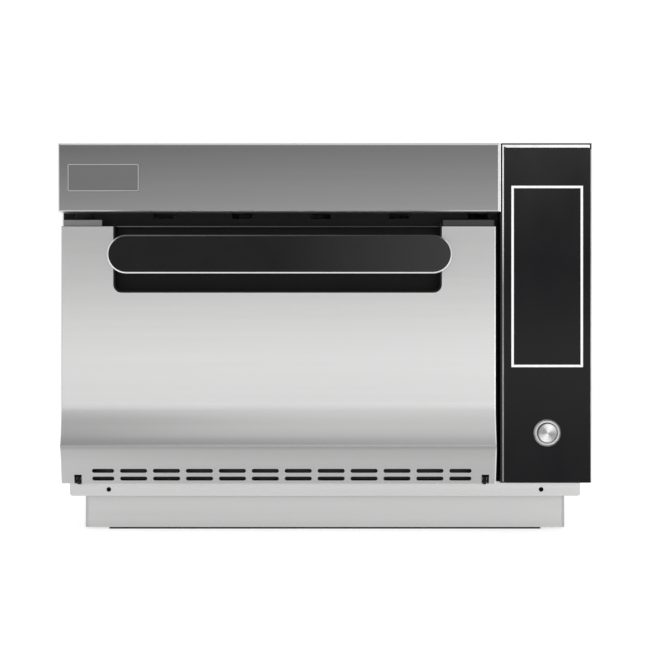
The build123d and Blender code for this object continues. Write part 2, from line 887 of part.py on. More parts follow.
def face_edges(solid):
    """Edges round the door's face: its outline at both ends and its top."""
    near = solid.edges().filter_by(lambda edge: edge.center().Y < skin_inner_y)
    ends = near.filter_by(lambda edge: edge.bounding_box().size.X < door_sheet)
    top = near.filter_by(lambda edge: edge.center().Z > door_top_z - door_sheet
                         and edge.bounding_box().size.X > door_sheet)
    return ends + top


def door_skin():
    """Stainless outer skin: bulged lip, side and top folds, slots, hinge notches and pocket cut-out."""
    back_y = skin_y + skin_flange_depth
    outer = along_x(skin_profile(skin_y, back_y), door_left_x, door_right_x)
    outer = fillet(face_edges(outer), skin_fold_radius)
    inner = along_x(skin_profile(skin_inner_y, back_y + overrun), door_left_x + door_sheet,
                    door_right_x - door_sheet)
    inner = inner & block(door_left_x, door_right_x, skin_y - lip_reach, back_y + overrun + overrun,
                          door_bottom_z + door_sheet, door_top_z - door_sheet)
    skin = outer - inner
    left, right, bottom = pocket_edges()
    opening = rounded(left, right, bottom, door_top_z + pocket_bottom_drop, pocket_corner_radius)
    skin = skin - along_y(opening, skin_y - overrun, back_y + overrun)
    skin = skin - block(door_left_x - overrun, door_right_x + overrun, skin_y + lip_bottom_flange,
                        back_y + overrun, door_bottom_z - overrun, door_bottom_z + door_sheet)
    reach = channel_reach()
    for x in hinge_places():
        skin = skin - block(x - notch_width / 2, x + notch_width / 2, skin_y - lip_reach - overrun,
                            back_y + overrun, door_bottom_z - overrun, door_bottom_z + notch_height)
        skin = skin - block(x - reach, x + reach, skin_inner_y, back_y + overrun,
                            door_bottom_z - overrun, door_bottom_z + door_sheet)
    for cutter in lip_slot_cutters():
        skin = skin - cutter
    return skin


def inner_frame_edges():
    """Left, right, bottom and top of the door's inner frame."""
    return (door_left_x + door_sheet, door_right_x - door_sheet, door_bottom_z + inner_frame_rise,
            door_top_z - door_sheet + inner_frame_top_step)


def door_inner_frame():
    """Folded tray behind the skin: it carries the hinges, closes the door's back and has two top tabs."""
    left, right, bottom, top = inner_frame_edges()
    front = skin_y + skin_flange_depth
    sheet = inner_frame_sheet
    tray = block(left, right, front, door_back_y, bottom, top)
    hollow = block(left + sheet, right - sheet, front - overrun, door_back_y - sheet, bottom + sheet,
                   top - sheet)
    tray = tray - hollow
    pocket_left, pocket_right, pocket_bottom = pocket_edges()
    for low_x, high_x in ((left, pocket_left - left_tab_gap), (pocket_right + right_tab_gap, right)):
        tray = tray + block(low_x, high_x, front, front + sheet, top - sheet, top + inner_frame_tab_rise)
    reach = channel_reach()
    arm_top_z = wrap_foot_top_z + hinge_arm_foot_height + hinge_side_gap
    for x in hinge_places():
        tray = tray - block(x - reach, x + reach, front - overrun, door_back_y + overrun,
                            bottom - overrun, bottom + sheet)
        gap = hinge_arm_thickness / 2 + hinge_side_gap
        tray = tray - block(x - gap, x + gap, door_back_y - sheet - overrun, door_back_y + overrun,
                            bottom - overrun, arm_top_z)
    return tray


def choke_cover():
    """Moulded ring on the door's back over the microwave choke, round the raised inner glass place."""
    reach = choke_cover_overlap
    outer = rounded(cavity_left_x - reach, cavity_right_x + reach, cavity_bottom_z - reach,
                    cavity_top_z + reach, choke_cover_corner_radius)
    band = choke_cover_band
    inner = rounded(cavity_left_x - reach + band, cavity_right_x + reach - band,
                    cavity_bottom_z - reach + band, cavity_top_z + reach - band,
                    choke_cover_corner_radius)
    return along_y(outer, door_back_y, cover_back_y) - along_y(inner, door_back_y - overrun,
                                                             cover_back_y + overrun)


def door_plug():
    """Flat stainless plate inside the choke cover, level with its face."""
    reach = choke_cover_overlap
    band = choke_cover_band
    sketch = rounded(cavity_left_x - reach + band, cavity_right_x + reach - band,
                     cavity_bottom_z - reach + band, cavity_top_z + reach - band,
                     choke_cover_corner_radius)
    return along_y(sketch, door_back_y, cover_back_y - inner_frame_sheet)


def door_insulation():
    """Mineral wool pad inside the inner frame, behind the pocket and above the vented lip."""
    left, right, bottom, top = inner_frame_edges()
    sheet = inner_frame_sheet
    high_y = door_back_y - sheet
    low_z = door_bottom_z + lip_blend_height
    return block(left + sheet + hinge_reserve(), right - sheet - hinge_reserve(),
                 high_y - door_pad_thickness, high_y, low_z, top - sheet)


def hinge_reserve():
    """Width that each hinge channel keeps free at the door's sides."""
    return hinge_left_inset + hinge_arm_thickness + hinge_side_gap + hinge_cheek_thickness


def handle_pocket():
    """Black moulded grip pocket: a rim behind the skin, a deep recess and an open top."""
    left, right, bottom = pocket_edges()
    top = door_top_z + pocket_rise
    fit = pocket_fit
    wall = pocket_wall
    back_y = skin_y + pocket_recess_depth
    outer = rounded(left + fit, right - fit, bottom + fit, top + pocket_bottom_drop,
                    pocket_corner_radius - fit)
    inner = rounded(left + fit + wall, right - fit - wall, bottom + fit + wall, top + pocket_bottom_drop,
                    pocket_corner_radius - fit - wall)
    above = block(left - overrun, right + overrun, skin_y - overrun, back_y + overrun, top,
                  top + pocket_bottom_drop + overrun)
    shell = along_y(outer, skin_y, back_y + wall) - along_y(inner, skin_y - overrun, back_y)
    rim = rounded(left - pocket_rim, right + pocket_rim, bottom - pocket_rim, door_top_z - door_sheet,
                  pocket_corner_radius)
    rim = along_y(rim, skin_inner_y, skin_inner_y + pocket_rim_thickness)
    rim = rim - along_y(outer, skin_y, back_y)
    pocket = shell + rim - above
    step_z = door_top_z - door_sheet
    clear = block(left - pocket_rim - overrun, right + pocket_rim + overrun, skin_y + skin_flange_depth,
                  back_y + wall + overrun, step_z, top + overrun)
    return pocket - clear


def handle_ends():
    """X of the handle's two ends."""
    return door_left_x + handle_left_inset, door_right_x - handle_right_inset


def handle_centre():
    """X and Z of the handle's middle."""
    left, right = handle_ends()
    return (left + right) / 2, door_top_z - handle_drop


def handle_core():
    """Stadium-shaped handle body with a bright chamfer round its front."""
    x, z = handle_centre()
    left, right = handle_ends()
    face_y = front_y - handle_reach + handle_cover_thickness
    sketch = Pos(x, z) * SlotOverall(right - left, handle_height)
    core = along_y(sketch, face_y, face_y + handle_thickness)
    core = chamfer(core.edges().group_by(Axis.Y)[0], handle_chamfer)
    return fillet(core.edges().group_by(Axis.Y)[-1], handle_chamfer)


def handle_cover():
    """Black textured face plate on the handle's front."""
    x, z = handle_centre()
    left, right = handle_ends()
    y = front_y - handle_reach
    margin = handle_chamfer + handle_chamfer
    sketch = Pos(x, z) * SlotOverall(right - left - margin, handle_height - margin)
    plate = along_y(sketch, y, y + handle_cover_thickness)
    return fillet(plate.edges().group_by(Axis.Y)[0], handle_cover_thickness / 2)


def handle_post_places():
    """X of the two handle posts."""
    left, right = handle_ends()
    return left + handle_post_inset, right - handle_post_inset


def handle_posts():
    """Two round posts from the pocket's back to the handle."""
    x, z = handle_centre()
    low_y = front_y - handle_reach + handle_cover_thickness + handle_thickness
    high_y = skin_y + pocket_recess_depth
    posts = [rod_y(place, z, handle_post_diameter / 2, low_y, high_y) for place in handle_post_places()]
    return Compound(children=posts)


def handle_screws():
    """Two screws from inside the door, their heads behind the pocket."""
    x, z = handle_centre()
    seat_y = skin_y + pocket_recess_depth + pocket_wall
    screws = []
    for place in handle_post_places():
        head = rod_y(place, z, handle_screw_head_diameter / 2, seat_y, seat_y + handle_screw_head_height)
        head = chamfer(head.edges().group_by(Axis.Y)[-1], handle_screw_head_height / 4)
        screws.append(head)
    return Compound(children=screws)


def hinge_arm(x):
    """Fixed hinge arm: a round eye in the door's notch, a bar to the frame and an upright foot."""
    low_x = x - hinge_arm_thickness / 2
    high_x = x + hinge_arm_thickness / 2
    eye = Pos(hinge_y, hinge_z) * Circle(hinge_eye_radius)
    bar_low_z = wrap_foot_top_z
    bar = Polyline((hinge_y, bar_low_z), (frame_front_y, bar_low_z),
                   (frame_front_y, bar_low_z + hinge_arm_foot_height),
                   (hinge_y + hinge_eye_radius, hinge_z + hinge_eye_radius),
                   (hinge_y, hinge_z + hinge_eye_radius), close=True)
    arm = along_x(eye + make_face(bar), low_x, high_x)
    foot = block(x - hinge_arm_foot_width / 2, x + hinge_arm_foot_width / 2,
                 frame_front_y - hinge_arm_foot_thickness, frame_front_y,
                 bar_low_z, bar_low_z + hinge_arm_foot_height)
    bore = rod_x(hinge_y, hinge_z, hinge_pin_diameter / 2 + hinge_pin_fit, low_x - overrun,
                 high_x + overrun)
    return arm + foot - bore


def hinge_channel(x):
    """Door-side hinge channel: two cheeks beside the arm, joined by a web behind the skin."""
    gap = hinge_arm_thickness / 2 + hinge_side_gap
    outer = gap + hinge_cheek_thickness
    top_z = hinge_z + hinge_channel_height
    web_y = skin_inner_y
    eye = Pos(hinge_y, hinge_z) * Circle(hinge_eye_radius - hinge_side_gap)
    plate = Polyline((hinge_y - hinge_eye_radius + hinge_side_gap, hinge_z),
                     (hinge_y + hinge_eye_radius - hinge_side_gap, hinge_z),
                     (web_y + hinge_channel_depth, hinge_z + hinge_channel_flare_rise),
                     (web_y + hinge_channel_depth, top_z), (web_y, top_z),
                     (web_y, hinge_z + hinge_channel_flare_rise), close=True)
    section = eye + make_face(plate)
    channel = along_x(section, x - outer, x + outer)
    slot = block(x - gap, x + gap, web_y + hinge_cheek_thickness, web_y + hinge_channel_depth + overrun,
                 hinge_z - hinge_channel_height, top_z + overrun)
    low_gap = block(x - gap, x + gap, web_y - overrun, web_y + hinge_channel_depth + overrun,
                    hinge_z - hinge_channel_height, hinge_z + hinge_channel_flare_rise - hinge_side_gap)
    bore = rod_x(hinge_y, hinge_z, hinge_pin_diameter / 2, x - outer - overrun, x + outer + overrun)
    return channel - slot - low_gap - bore


def hinge_pins():
    """Two hinge pins, one through each channel and arm."""
    half = hinge_arm_thickness / 2 + hinge_side_gap + hinge_cheek_thickness
    pins = [rod_x(hinge_y, hinge_z, hinge_pin_diameter / 2, x - half, x + half) for x in hinge_places()]
    return Compound(children=pins)


def latch_hook(x):
    """Latch hook on the door's back: a plate and a barbed blade that enters the front frame."""
    z = door_top_z - latch_drop
    low_x = x - latch_width / 2
    plate_top = min(z + latch_plate_height / 2, door_top_z - door_sheet)
    plate = block(x - latch_plate_width / 2, x + latch_plate_width / 2, door_back_y,
                  door_back_y + latch_plate_thickness, plate_top - latch_plate_height, plate_top)
    tip_y = door_back_y + latch_reach
    half = latch_height / 2
    blade = Polyline((door_back_y, z - half), (tip_y - latch_barb - latch_barb, z - half),
                     (tip_y - latch_barb, z - half - latch_barb), (tip_y, z - half),
                     (tip_y, z + half - latch_barb), (tip_y - latch_barb, z + half),
                     (door_back_y, z + half), close=True)
    return plate + along_x(make_face(blade), low_x, low_x + latch_width)


def door_switches():
    """Door switches behind the frame, one beside each latch slot, with their levers."""
    z = door_top_z - latch_drop
    solids = []
    for x, side in zip(latch_places(), (-1, 1)):
        near_x = x + side * (latch_width / 2 + latch_slot_clearance / 2 + switch_gap)
        edges = sorted((near_x, near_x + side * switch_width))
        body = block(edges[0], edges[1], frame_back_y, frame_back_y + switch_depth,
                     z - switch_height / 2, z + switch_height / 2)
        edges = sorted((near_x - side * switch_gap, near_x))
        lever = block(edges[0], edges[1], frame_back_y + switch_gap,
                      frame_back_y + switch_depth - switch_gap, z - case_sheet, z)
        solids.append(body + lever)
    return Compound(children=solids)


def liner_solid(grow):
    """Cavity space with its well, grown on every closed side by a thickness."""
    room = rounded(cavity_left_x - grow, cavity_right_x + grow, plate_bottom_z - grow,
                   cavity_top_z + grow, cavity_corner_radius + grow)
    solid = along_y(room, frame_back_y, liner_back_y + grow)
    well = block(cavity_left_x + well_ledge - grow, cavity_right_x - well_ledge + grow,
                 frame_back_y + well_ledge - grow, baffle_y - well_ledge + grow,
                 well_bottom_z - grow, plate_top_z)
    return solid + well


def guide_places():
    """Y of the middle of the two waveguides."""
    return cavity_middle_y - guide_spacing / 2, cavity_middle_y + guide_spacing / 2


def cavity_liner():
    """Stainless liner: rounded box open at the front, with a well under the floor plate."""
    inside = liner_solid(0)
    mouth = rounded(cavity_left_x, cavity_right_x, plate_bottom_z, cavity_top_z, cavity_corner_radius)
    liner = liner_solid(liner_sheet) - inside - along_y(mouth, frame_back_y - overrun, frame_back_y + overrun)
    for y in guide_places():
        liner = liner - block(guide_port_x, guide_port_x + guide_port_length, y - guide_width / 4,
                              y + guide_width / 4, well_bottom_z - liner_sheet - overrun,
                              well_bottom_z + overrun)
    shaft_hole = shaft_diameter / 2 + shaft_hole_gap
    liner = liner - rod_y(cavity_centre_x, fan_centre_z, shaft_hole, liner_back_y - overrun,
                          liner_back_y + liner_sheet + overrun)
    for x in heater_leg_places():
        liner = liner - rod_y(x, heater_leg_z(), heater_tube_diameter / 2 + pocket_fit,
                              liner_back_y - overrun, liner_back_y + liner_sheet + overrun)
    stirrer_hole = stirrer_shaft_diameter / 2 + shaft_hole_gap
    return liner - rod_z(cavity_centre_x, cavity_middle_y, stirrer_hole,
                         well_bottom_z - liner_sheet - overrun, well_bottom_z + overrun)


def ceramic_floor_plate():
    """Ceramic plate that closes the well and is the cavity's floor."""
    gap = floor_plate_gap
    inset = gap + cavity_corner_radius
    return block(cavity_left_x + inset, cavity_right_x - inset, frame_back_y + gap, baffle_y - gap,
                 plate_bottom_z, plate_top_z)


def jet_plate():
    """Punched plate under the top plenum: rows of round air jets."""
    radius = jet_hole_diameter / 2
    plate = block(cavity_left_x, cavity_right_x, frame_back_y, baffle_y, jet_plate_z,
                  jet_plate_z + jet_plate_thickness)
    pitch_x = cavity_width / (jet_columns + 1)
    pitch_y = (baffle_y - frame_back_y) / (jet_rows + 1)
    for column in range(jet_columns):
        for row in range(jet_rows):
            plate = plate - rod_z(cavity_left_x + (column + 1) * pitch_x,
                                  frame_back_y + (row + 1) * pitch_y, radius,
                                  jet_plate_z - overrun, jet_plate_z + jet_plate_thickness + overrun)
    return plate


def rear_baffle():
    """Baffle before the fan: a ring of radial intake slots and a column of outlets at each side."""
    room = rounded(cavity_left_x, cavity_right_x, plate_bottom_z, cavity_top_z, cavity_corner_radius)
    baffle = along_y(room, baffle_y, baffle_y + baffle_sheet)
    baffle = baffle - block(cavity_left_x - overrun, cavity_right_x + overrun, baffle_y - overrun,
                            baffle_y + baffle_sheet + overrun, jet_plate_z, cavity_top_z + overrun)
    step = 360 / baffle_slot_count
    for index in range(baffle_slot_count):
        slot = block(baffle_slot_circle / 2, baffle_slot_circle / 2 + baffle_slot_length,
                     baffle_y - overrun, baffle_y + baffle_sheet + overrun,
                     -baffle_slot_width / 2, baffle_slot_width / 2)
        baffle = baffle - Pos(cavity_centre_x, 0, fan_centre_z) * (Rot(0, index * step, 0) * slot)
    pitch = (jet_plate_z - plate_top_z) / (baffle_outlet_count + 1)
    for side in (-1, 1):
        x = cavity_centre_x + side * (cavity_width / 2 - baffle_outlet_width)
        for index in range(baffle_outlet_count):
            z = plate_top_z + (index + 1) * pitch
            baffle = baffle - block(x - baffle_outlet_width / 2, x + baffle_outlet_width / 2,
                                    baffle_y - overrun, baffle_y + baffle_sheet + overrun,
                                    z - baffle_outlet_height / 2, z + baffle_outlet_height / 2)
    return baffle


def insulation_blanket():
    """Mineral wool round the liner's top, sides and back, open at the front and below."""
    thick = insulation_thickness
    skin = liner_sheet + insulation_gap
    outer = block(cavity_left_x - liner_sheet - thick, cavity_right_x + liner_sheet + thick,
                  frame_back_y, liner_back_y + liner_sheet + thick, plate_bottom_z, cavity_top_z
                  + liner_sheet + thick)
    blanket = outer - liner_solid(skin) - along_y(
        rounded(cavity_left_x - skin, cavity_right_x + skin, plate_bottom_z - skin,
                cavity_top_z + skin, cavity_corner_radius + skin),
        frame_back_y - overrun, frame_back_y + overrun)
    reach = liner_back_y + liner_sheet + thick + overrun
    blanket = blanket - rod_y(cavity_centre_x, fan_centre_z, shaft_diameter / 2 + shaft_hole_gap,
                              liner_back_y - overrun, reach)
    for x in heater_leg_places():
        blanket = blanket - rod_y(x, heater_leg_z(), heater_tube_diameter / 2 + pocket_fit,
                                  liner_back_y - overrun, reach)
    slot_low_z = door_top_z - latch_drop - latch_plate_height
    for x in latch_places():
        half = latch_plate_width + switch_width
        blanket = blanket - block(x - half, x + half, frame_back_y - overrun,
                                  frame_back_y + switch_depth + latch_reach, slot_low_z,
                                  shelf_z + overrun)
    return blanket


def rack_level():
    """Height of the middle of the rack's frame wire."""
    return plate_top_z + rack_rise


def oven_rack():
    """Wire rack: a closed frame of heavy wire with lighter wires across it."""
    z = rack_level()
    left = cavity_left_x + rack_side_gap
    right = cavity_right_x - rack_side_gap
    front = frame_back_y + rack_end_gap
    rear = baffle_y - rack_end_gap
    centre = Pos((left + right) / 2, (front + rear) / 2)
    outline = Plane.XY.offset(z) * (centre * RectangleRounded(right - left, rear - front, rack_corner_radius))
    path = outline.wire()
    start = Plane(origin=path @ 0, z_dir=path % 0)
    rack = sweep(start * Circle(rack_frame_wire / 2), path=path)
    pitch = (right - left) / (rack_cross_count + 1)
    wires = []
    for index in range(rack_cross_count):
        x = left + (index + 1) * pitch
        wires.append(rod_y(x, z, rack_cross_wire / 2, front, rear))
    for wire in wires:
        rack = rack + wire
    return rack


def rack_rails():
    """Two angle rails on the liner's walls that carry the rack."""
    top_z = rack_level() - rack_frame_wire / 2
    rails = []
    for side, wall_x in ((1, cavity_left_x), (-1, cavity_right_x)):
        points = [(0, 0), (rack_rail_width, 0), (rack_rail_width, -rack_rail_thickness),
                  (rack_rail_thickness, -rack_rail_thickness),
                  (rack_rail_thickness, -rack_rail_thickness - rack_rail_lip),
                  (0, -rack_rail_thickness - rack_rail_lip)]
        shape = make_face(Polyline(*[(wall_x + side * px, top_z + pz) for px, pz in points], close=True))
        rails.append(along_y(shape, frame_back_y + rack_end_gap, baffle_y - rack_end_gap))
    return Compound(children=rails)


def impeller_back_y():
    """Y of the rear face of the impeller's back plate."""
    return liner_back_y - impeller_wall_gap


def impeller_blade():
    """Outline of one backward-curved blade of constant thickness, drawn about the fan's centre."""
    inner_r = impeller_inlet_diameter / 2 + impeller_blade_thickness
    outer_r = impeller_diameter / 2 - impeller_blade_thickness
    lean = math.radians(impeller_blade_lean)
    middle_r = (inner_r + outer_r) / 2
    middle_lean = lean * blade_middle_lean_share
    start = (inner_r, 0)
    middle = (middle_r * math.cos(middle_lean), middle_r * math.sin(middle_lean))
    end = (outer_r * math.cos(lean), outer_r * math.sin(lean))
    return trace(ThreePointArc(start, middle, end), impeller_blade_thickness)


def convection_impeller():
    """Centrifugal fan wheel: back plate, hub, curved blades and a front shroud ring."""
    x, z = cavity_centre_x, fan_centre_z
    back_y = impeller_back_y()
    plate_y = back_y - impeller_plate
    front = plate_y - impeller_blade_depth
    wheel = rod_y(x, z, impeller_diameter / 2, plate_y, back_y)
    shroud = rod_y(x, z, impeller_diameter / 2, front, front + impeller_plate)
    shroud = shroud - rod_y(x, z, impeller_inlet_diameter / 2, front - overrun, front + impeller_plate + overrun)
    blade = along_y(impeller_blade(), front, back_y)
    wheel = wheel + shroud
    step = 360 / impeller_blade_count
    for index in range(impeller_blade_count):
        wheel = wheel + Pos(x, 0, z) * (Rot(0, index * step, 0) * blade)
    hub = rod_y(x, z, impeller_hub_diameter / 2, plate_y - shaft_nose, back_y + impeller_plate)
    wheel = wheel + hub
    return wheel - rod_y(x, z, shaft_diameter / 2, front - overrun, back_y + impeller_plate + overrun)


def motor_front_y():
    """Y of the front of the convection motor's mounting plate."""
    return liner_back_y + liner_sheet + insulation_thickness


def impeller_shaft():
    """Shaft from the impeller's nose through the insulation into the motor."""
    low_y = impeller_back_y() - impeller_plate - shaft_nose
    high_y = motor_front_y() + motor_foot_thickness + motor_length / 2
    shaft = rod_y(cavity_centre_x, fan_centre_z, shaft_diameter / 2, low_y, high_y)
    return chamfer(shaft.edges().group_by(Axis.Y)[0], shaft_diameter / 8)


def convection_motor():
    """Fan motor: a mounting plate on the insulation, a banded body and a blind bore for the shaft."""
    x, z = cavity_centre_x, fan_centre_z
    low_y = motor_front_y()
    body_y = low_y + motor_foot_thickness
    end_y = body_y + motor_length
    half = motor_diameter / 2 + motor_band_width + motor_band_width
    motor = block(x - half, x + half, low_y, body_y, z - half, z + half)
    motor = motor + rod_y(x, z, motor_diameter / 2, body_y, end_y)
    step = motor_length / (motor_band_count + 1)
    for index in range(motor_band_count):
        y = body_y + (index + 1) * step
        ring = rod_y(x, z, motor_diameter / 2 + motor_band_depth, y - motor_band_width / 2,
                     y + motor_band_width / 2)
        motor = motor + ring
    bore = rod_y(x, z, shaft_diameter / 2 + shaft_fit, low_y - overrun,
                 body_y + motor_length / 2 + shaft_hole_gap)
    return motor - bore


def heater_radius():
    """Radius of the heater's ring round the impeller."""
    return impeller_diameter / 2 + heater_ring_gap


def heater_leg_places():
    """X of the heater's two legs."""
    half_angle = math.radians(heater_gap_angle / 2)
    shift = heater_radius() * math.sin(half_angle)
    return cavity_centre_x - shift, cavity_centre_x + shift


def heater_leg_z():
    """Z of the heater's legs, at the bottom of the ring."""
    return fan_centre_z - heater_radius() * math.cos(math.radians(heater_gap_angle / 2))


def heater_ring():
    """Tubular heater: an open ring round the impeller and two legs through the liner's back."""
    y = impeller_back_y() - impeller_blade_depth / 2
    radius = heater_radius()
    start_angle = -90 + heater_gap_angle / 2
    plane = front_plane(y)
    arc = plane * CenterArc((cavity_centre_x, fan_centre_z), radius, start_angle, 360 - heater_gap_angle)
    start = Plane(origin=arc @ 0, z_dir=arc % 0)
    heater = sweep(start * Circle(heater_tube_diameter / 2), path=arc)
    leg_z = heater_leg_z()
    for x in heater_leg_places():
        heater = heater + rod_y(x, leg_z, heater_tube_diameter / 2, y,
                                liner_back_y + liner_sheet + heater_leg_overhang)
        heater = heater + Pos(x, y, leg_z) * Sphere(heater_tube_diameter / 2)
    return heater


def catalyst():
    """Catalyst block behind the intake slots: a frame with square cells."""
    half = catalyst_size / 2
    x, z = cavity_centre_x, fan_centre_z
    low_y = baffle_y + baffle_sheet
    high_y = low_y + catalyst_thickness
    body = block(x - half, x + half, low_y, high_y, z - half, z + half)
    cell = (catalyst_size - catalyst_wall * (catalyst_cells + 1)) / catalyst_cells
    for column in range(catalyst_cells):
        left = x - half + catalyst_wall + column * (cell + catalyst_wall)
        for row in range(catalyst_cells):
            bottom = z - half + catalyst_wall + row * (cell + catalyst_wall)
            body = body - block(left, left + cell, low_y - overrun, high_y + overrun, bottom, bottom + cell)
    return body


def stirrer():
    """Three-bladed stirrer in the well, with its hub and its shaft through the well's floor."""
    x, y = cavity_centre_x, cavity_middle_y
    low_z = well_bottom_z + stirrer_hub_height
    blade = block(0, stirrer_blade_length, -stirrer_blade_width / 2, stirrer_blade_width / 2, 0,
                  stirrer_sheet)
    tips = blade.edges().filter_by(Axis.Z).group_by(Axis.X)[-1]
    blade = fillet(tips, stirrer_blade_width / 4)
    body = rod_z(x, y, stirrer_hub_diameter / 2, low_z, low_z + stirrer_hub_height)
    step = 360 / stirrer_blade_count
    for index in range(stirrer_blade_count):
        body = body + Pos(x, y, low_z) * (Rot(0, 0, index * step) * blade)
    shaft_low_z = well_bottom_z - liner_sheet - stirrer_motor_height / 2
    return body + rod_z(x, y, stirrer_shaft_diameter / 2, shaft_low_z, low_z)


def stirrer_motor():
    """Flat gear motor under the well, with a bore for the stirrer's shaft."""
    x, y = cavity_centre_x, cavity_middle_y
    high_z = well_bottom_z - liner_sheet
    motor = rod_z(x, y, stirrer_motor_diameter / 2, high_z - stirrer_motor_height, high_z)
    motor = chamfer(motor.edges().group_by(Axis.Z)[0], stirrer_hub_height / 4)
    bore_low_z = high_z - stirrer_motor_height / 2 - shaft_hole_gap
    return motor - rod_z(x, y, stirrer_shaft_diameter / 2 + shaft_fit, bore_low_z, high_z + overrun)


def waveguide(y):
    """Rectangular duct from a magnetron in the side bay to its port under the well."""
    left = guide_port_x - guide_sheet
    right = inner_half_width - guide_end_gap
    high_z = well_bottom_z - liner_sheet
    low_z = high_z - guide_height
    duct = block(left, right, y - guide_width / 2, y + guide_width / 2, low_z, high_z)
    duct = duct - block(left + guide_sheet, right - guide_sheet, y - guide_width / 2 + guide_sheet,
                        y + guide_width / 2 - guide_sheet, low_z + guide_sheet, high_z - guide_sheet)
    duct = duct - block(guide_port_x, guide_port_x + guide_port_length, y - guide_width / 4, y + guide_width / 4,
                        high_z - guide_sheet - overrun, high_z + overrun)
    return duct - rod_z(bay_centre_x, y, magnetron_antenna_diameter / 2 + pocket_fit,
                        high_z - guide_sheet - overrun, high_z + overrun)


def magnetron(y):
    """Magnetron on its waveguide: yoke frame, cooling fins, antenna below and filter box above."""
    x = bay_centre_x
    seat_z = well_bottom_z - liner_sheet
    half_w = magnetron_width / 2
    half_d = magnetron_depth / 2
    wall = magnetron_frame_wall
    yoke_z = seat_z + magnetron_flange_thickness
    top_z = yoke_z + magnetron_height
    body = block(x - half_w, x + half_w, y - half_d, y + half_d, seat_z, yoke_z)
    yoke = block(x - half_w + wall, x + half_w - wall, y - half_d, y + half_d, yoke_z, top_z)
    yoke = yoke - block(x - half_w + wall + wall, x + half_w - wall - wall, y - half_d - overrun,
                        y + half_d + overrun, yoke_z + wall, top_z - wall)
    body = body + yoke + rod_z(x, y, magnetron_depth / 4, yoke_z, top_z)
    pitch = (magnetron_height - wall - wall) / (magnetron_fin_count + 1)
    for index in range(magnetron_fin_count):
        z = yoke_z + wall + (index + 1) * pitch
        body = body + block(x - half_w + wall, x + half_w - wall, y - half_d + magnetron_fin_gap,
                            y + half_d - magnetron_fin_gap, z - wall / 4, z + wall / 4)
    body = body + block(x - magnetron_box_width / 2, x + magnetron_box_width / 2, y - half_d, y + half_d,
                        top_z, top_z + magnetron_box_height)
    return body + rod_z(x, y, magnetron_antenna_diameter / 2, seat_z - magnetron_antenna_length, seat_z)


def transformer_place(index):
    """Y of the middle of a transformer, counted from the rear."""
    return rear_y - transformer_rear_gap - case_sheet - transformer_depth / 2 - index * transformer_spacing


def transformer(index):
    """High-voltage transformer: laminated core, two rounded coils and a foot plate."""
    x = bay_centre_x
    y = transformer_place(index)
    half_w = transformer_width / 2
    half_d = transformer_depth / 2
    low_z = floor_z
    core_z = low_z + transformer_foot_thickness
    top_z = core_z + transformer_height
    foot_half = half_w + transformer_coil_bulge
    body = block(x - foot_half, x + foot_half, y - half_d, y + half_d, low_z, core_z)
    core_half = half_d - transformer_coil_bulge
    body = body + block(x - half_w, x + half_w, y - core_half, y + core_half, core_z, top_z)
    gap = (transformer_height - transformer_coil_height - transformer_coil_height) / 3
    for level in range(2):
        coil_z = core_z + gap + level * (gap + transformer_coil_height)
        coil = Pos(x, y) * RectangleRounded(transformer_coil_width, half_d + half_d, transformer_coil_bulge)
        body = body + along_z(coil, coil_z, coil_z + transformer_coil_height)
    return body


def capacitors():
    """Two oval high-voltage capacitors standing between the magnetrons, with their terminals."""
    solids = []
    for index in (0, 1):
        x = bay_centre_x + (index - 1 / 2) * capacitor_spacing
        y = cavity_middle_y
        can = Pos(x, y) * SlotOverall(capacitor_width, capacitor_depth)
        low_z = floor_z
        solid = along_z(can, low_z, low_z + capacitor_height)
        for side in (-1, 1):
            solid = solid + rod_z(x + side * capacitor_width / 4, y, capacitor_terminal_diameter / 2,
                                  low_z + capacitor_height,
                                  low_z + capacitor_height + capacitor_terminal_height)
        solids.append(solid)
    return Compound(children=solids)


def cooler_back_y():
    """Y of the cooling fan's rear face, on the rear panel."""
    return rear_y - case_sheet


def cooling_fan_frame():
    """Square fan frame with a round bore, four struts and the motor's cup."""
    half = cooler_size / 2
    high_y = cooler_back_y()
    low_y = high_y - cooler_depth
    x, z = bay_centre_x, cooler_z
    frame = along_y(rounded(x - half, x + half, z - half, z + half, cooler_corner_radius), low_y, high_y)
    frame = frame - rod_y(x, z, cooler_bore_diameter / 2, low_y - overrun, high_y + overrun)
    strut_y = high_y - cooler_strut_depth
    for angle in (45, 135):
        strut = block(-cooler_bore_diameter / 2 - cooler_tip_gap, cooler_bore_diameter / 2 + cooler_tip_gap,
                      strut_y, high_y, -cooler_strut_width / 2, cooler_strut_width / 2)
        frame = frame + Pos(x, 0, z) * (Rot(0, angle, 0) * strut)
    frame = frame + rod_y(x, z, cooler_hub_diameter / 2, strut_y, high_y)
    pin = rod_y(x, z, cooler_shaft_diameter / 2, low_y + cooler_strut_depth, strut_y)
    return frame + pin


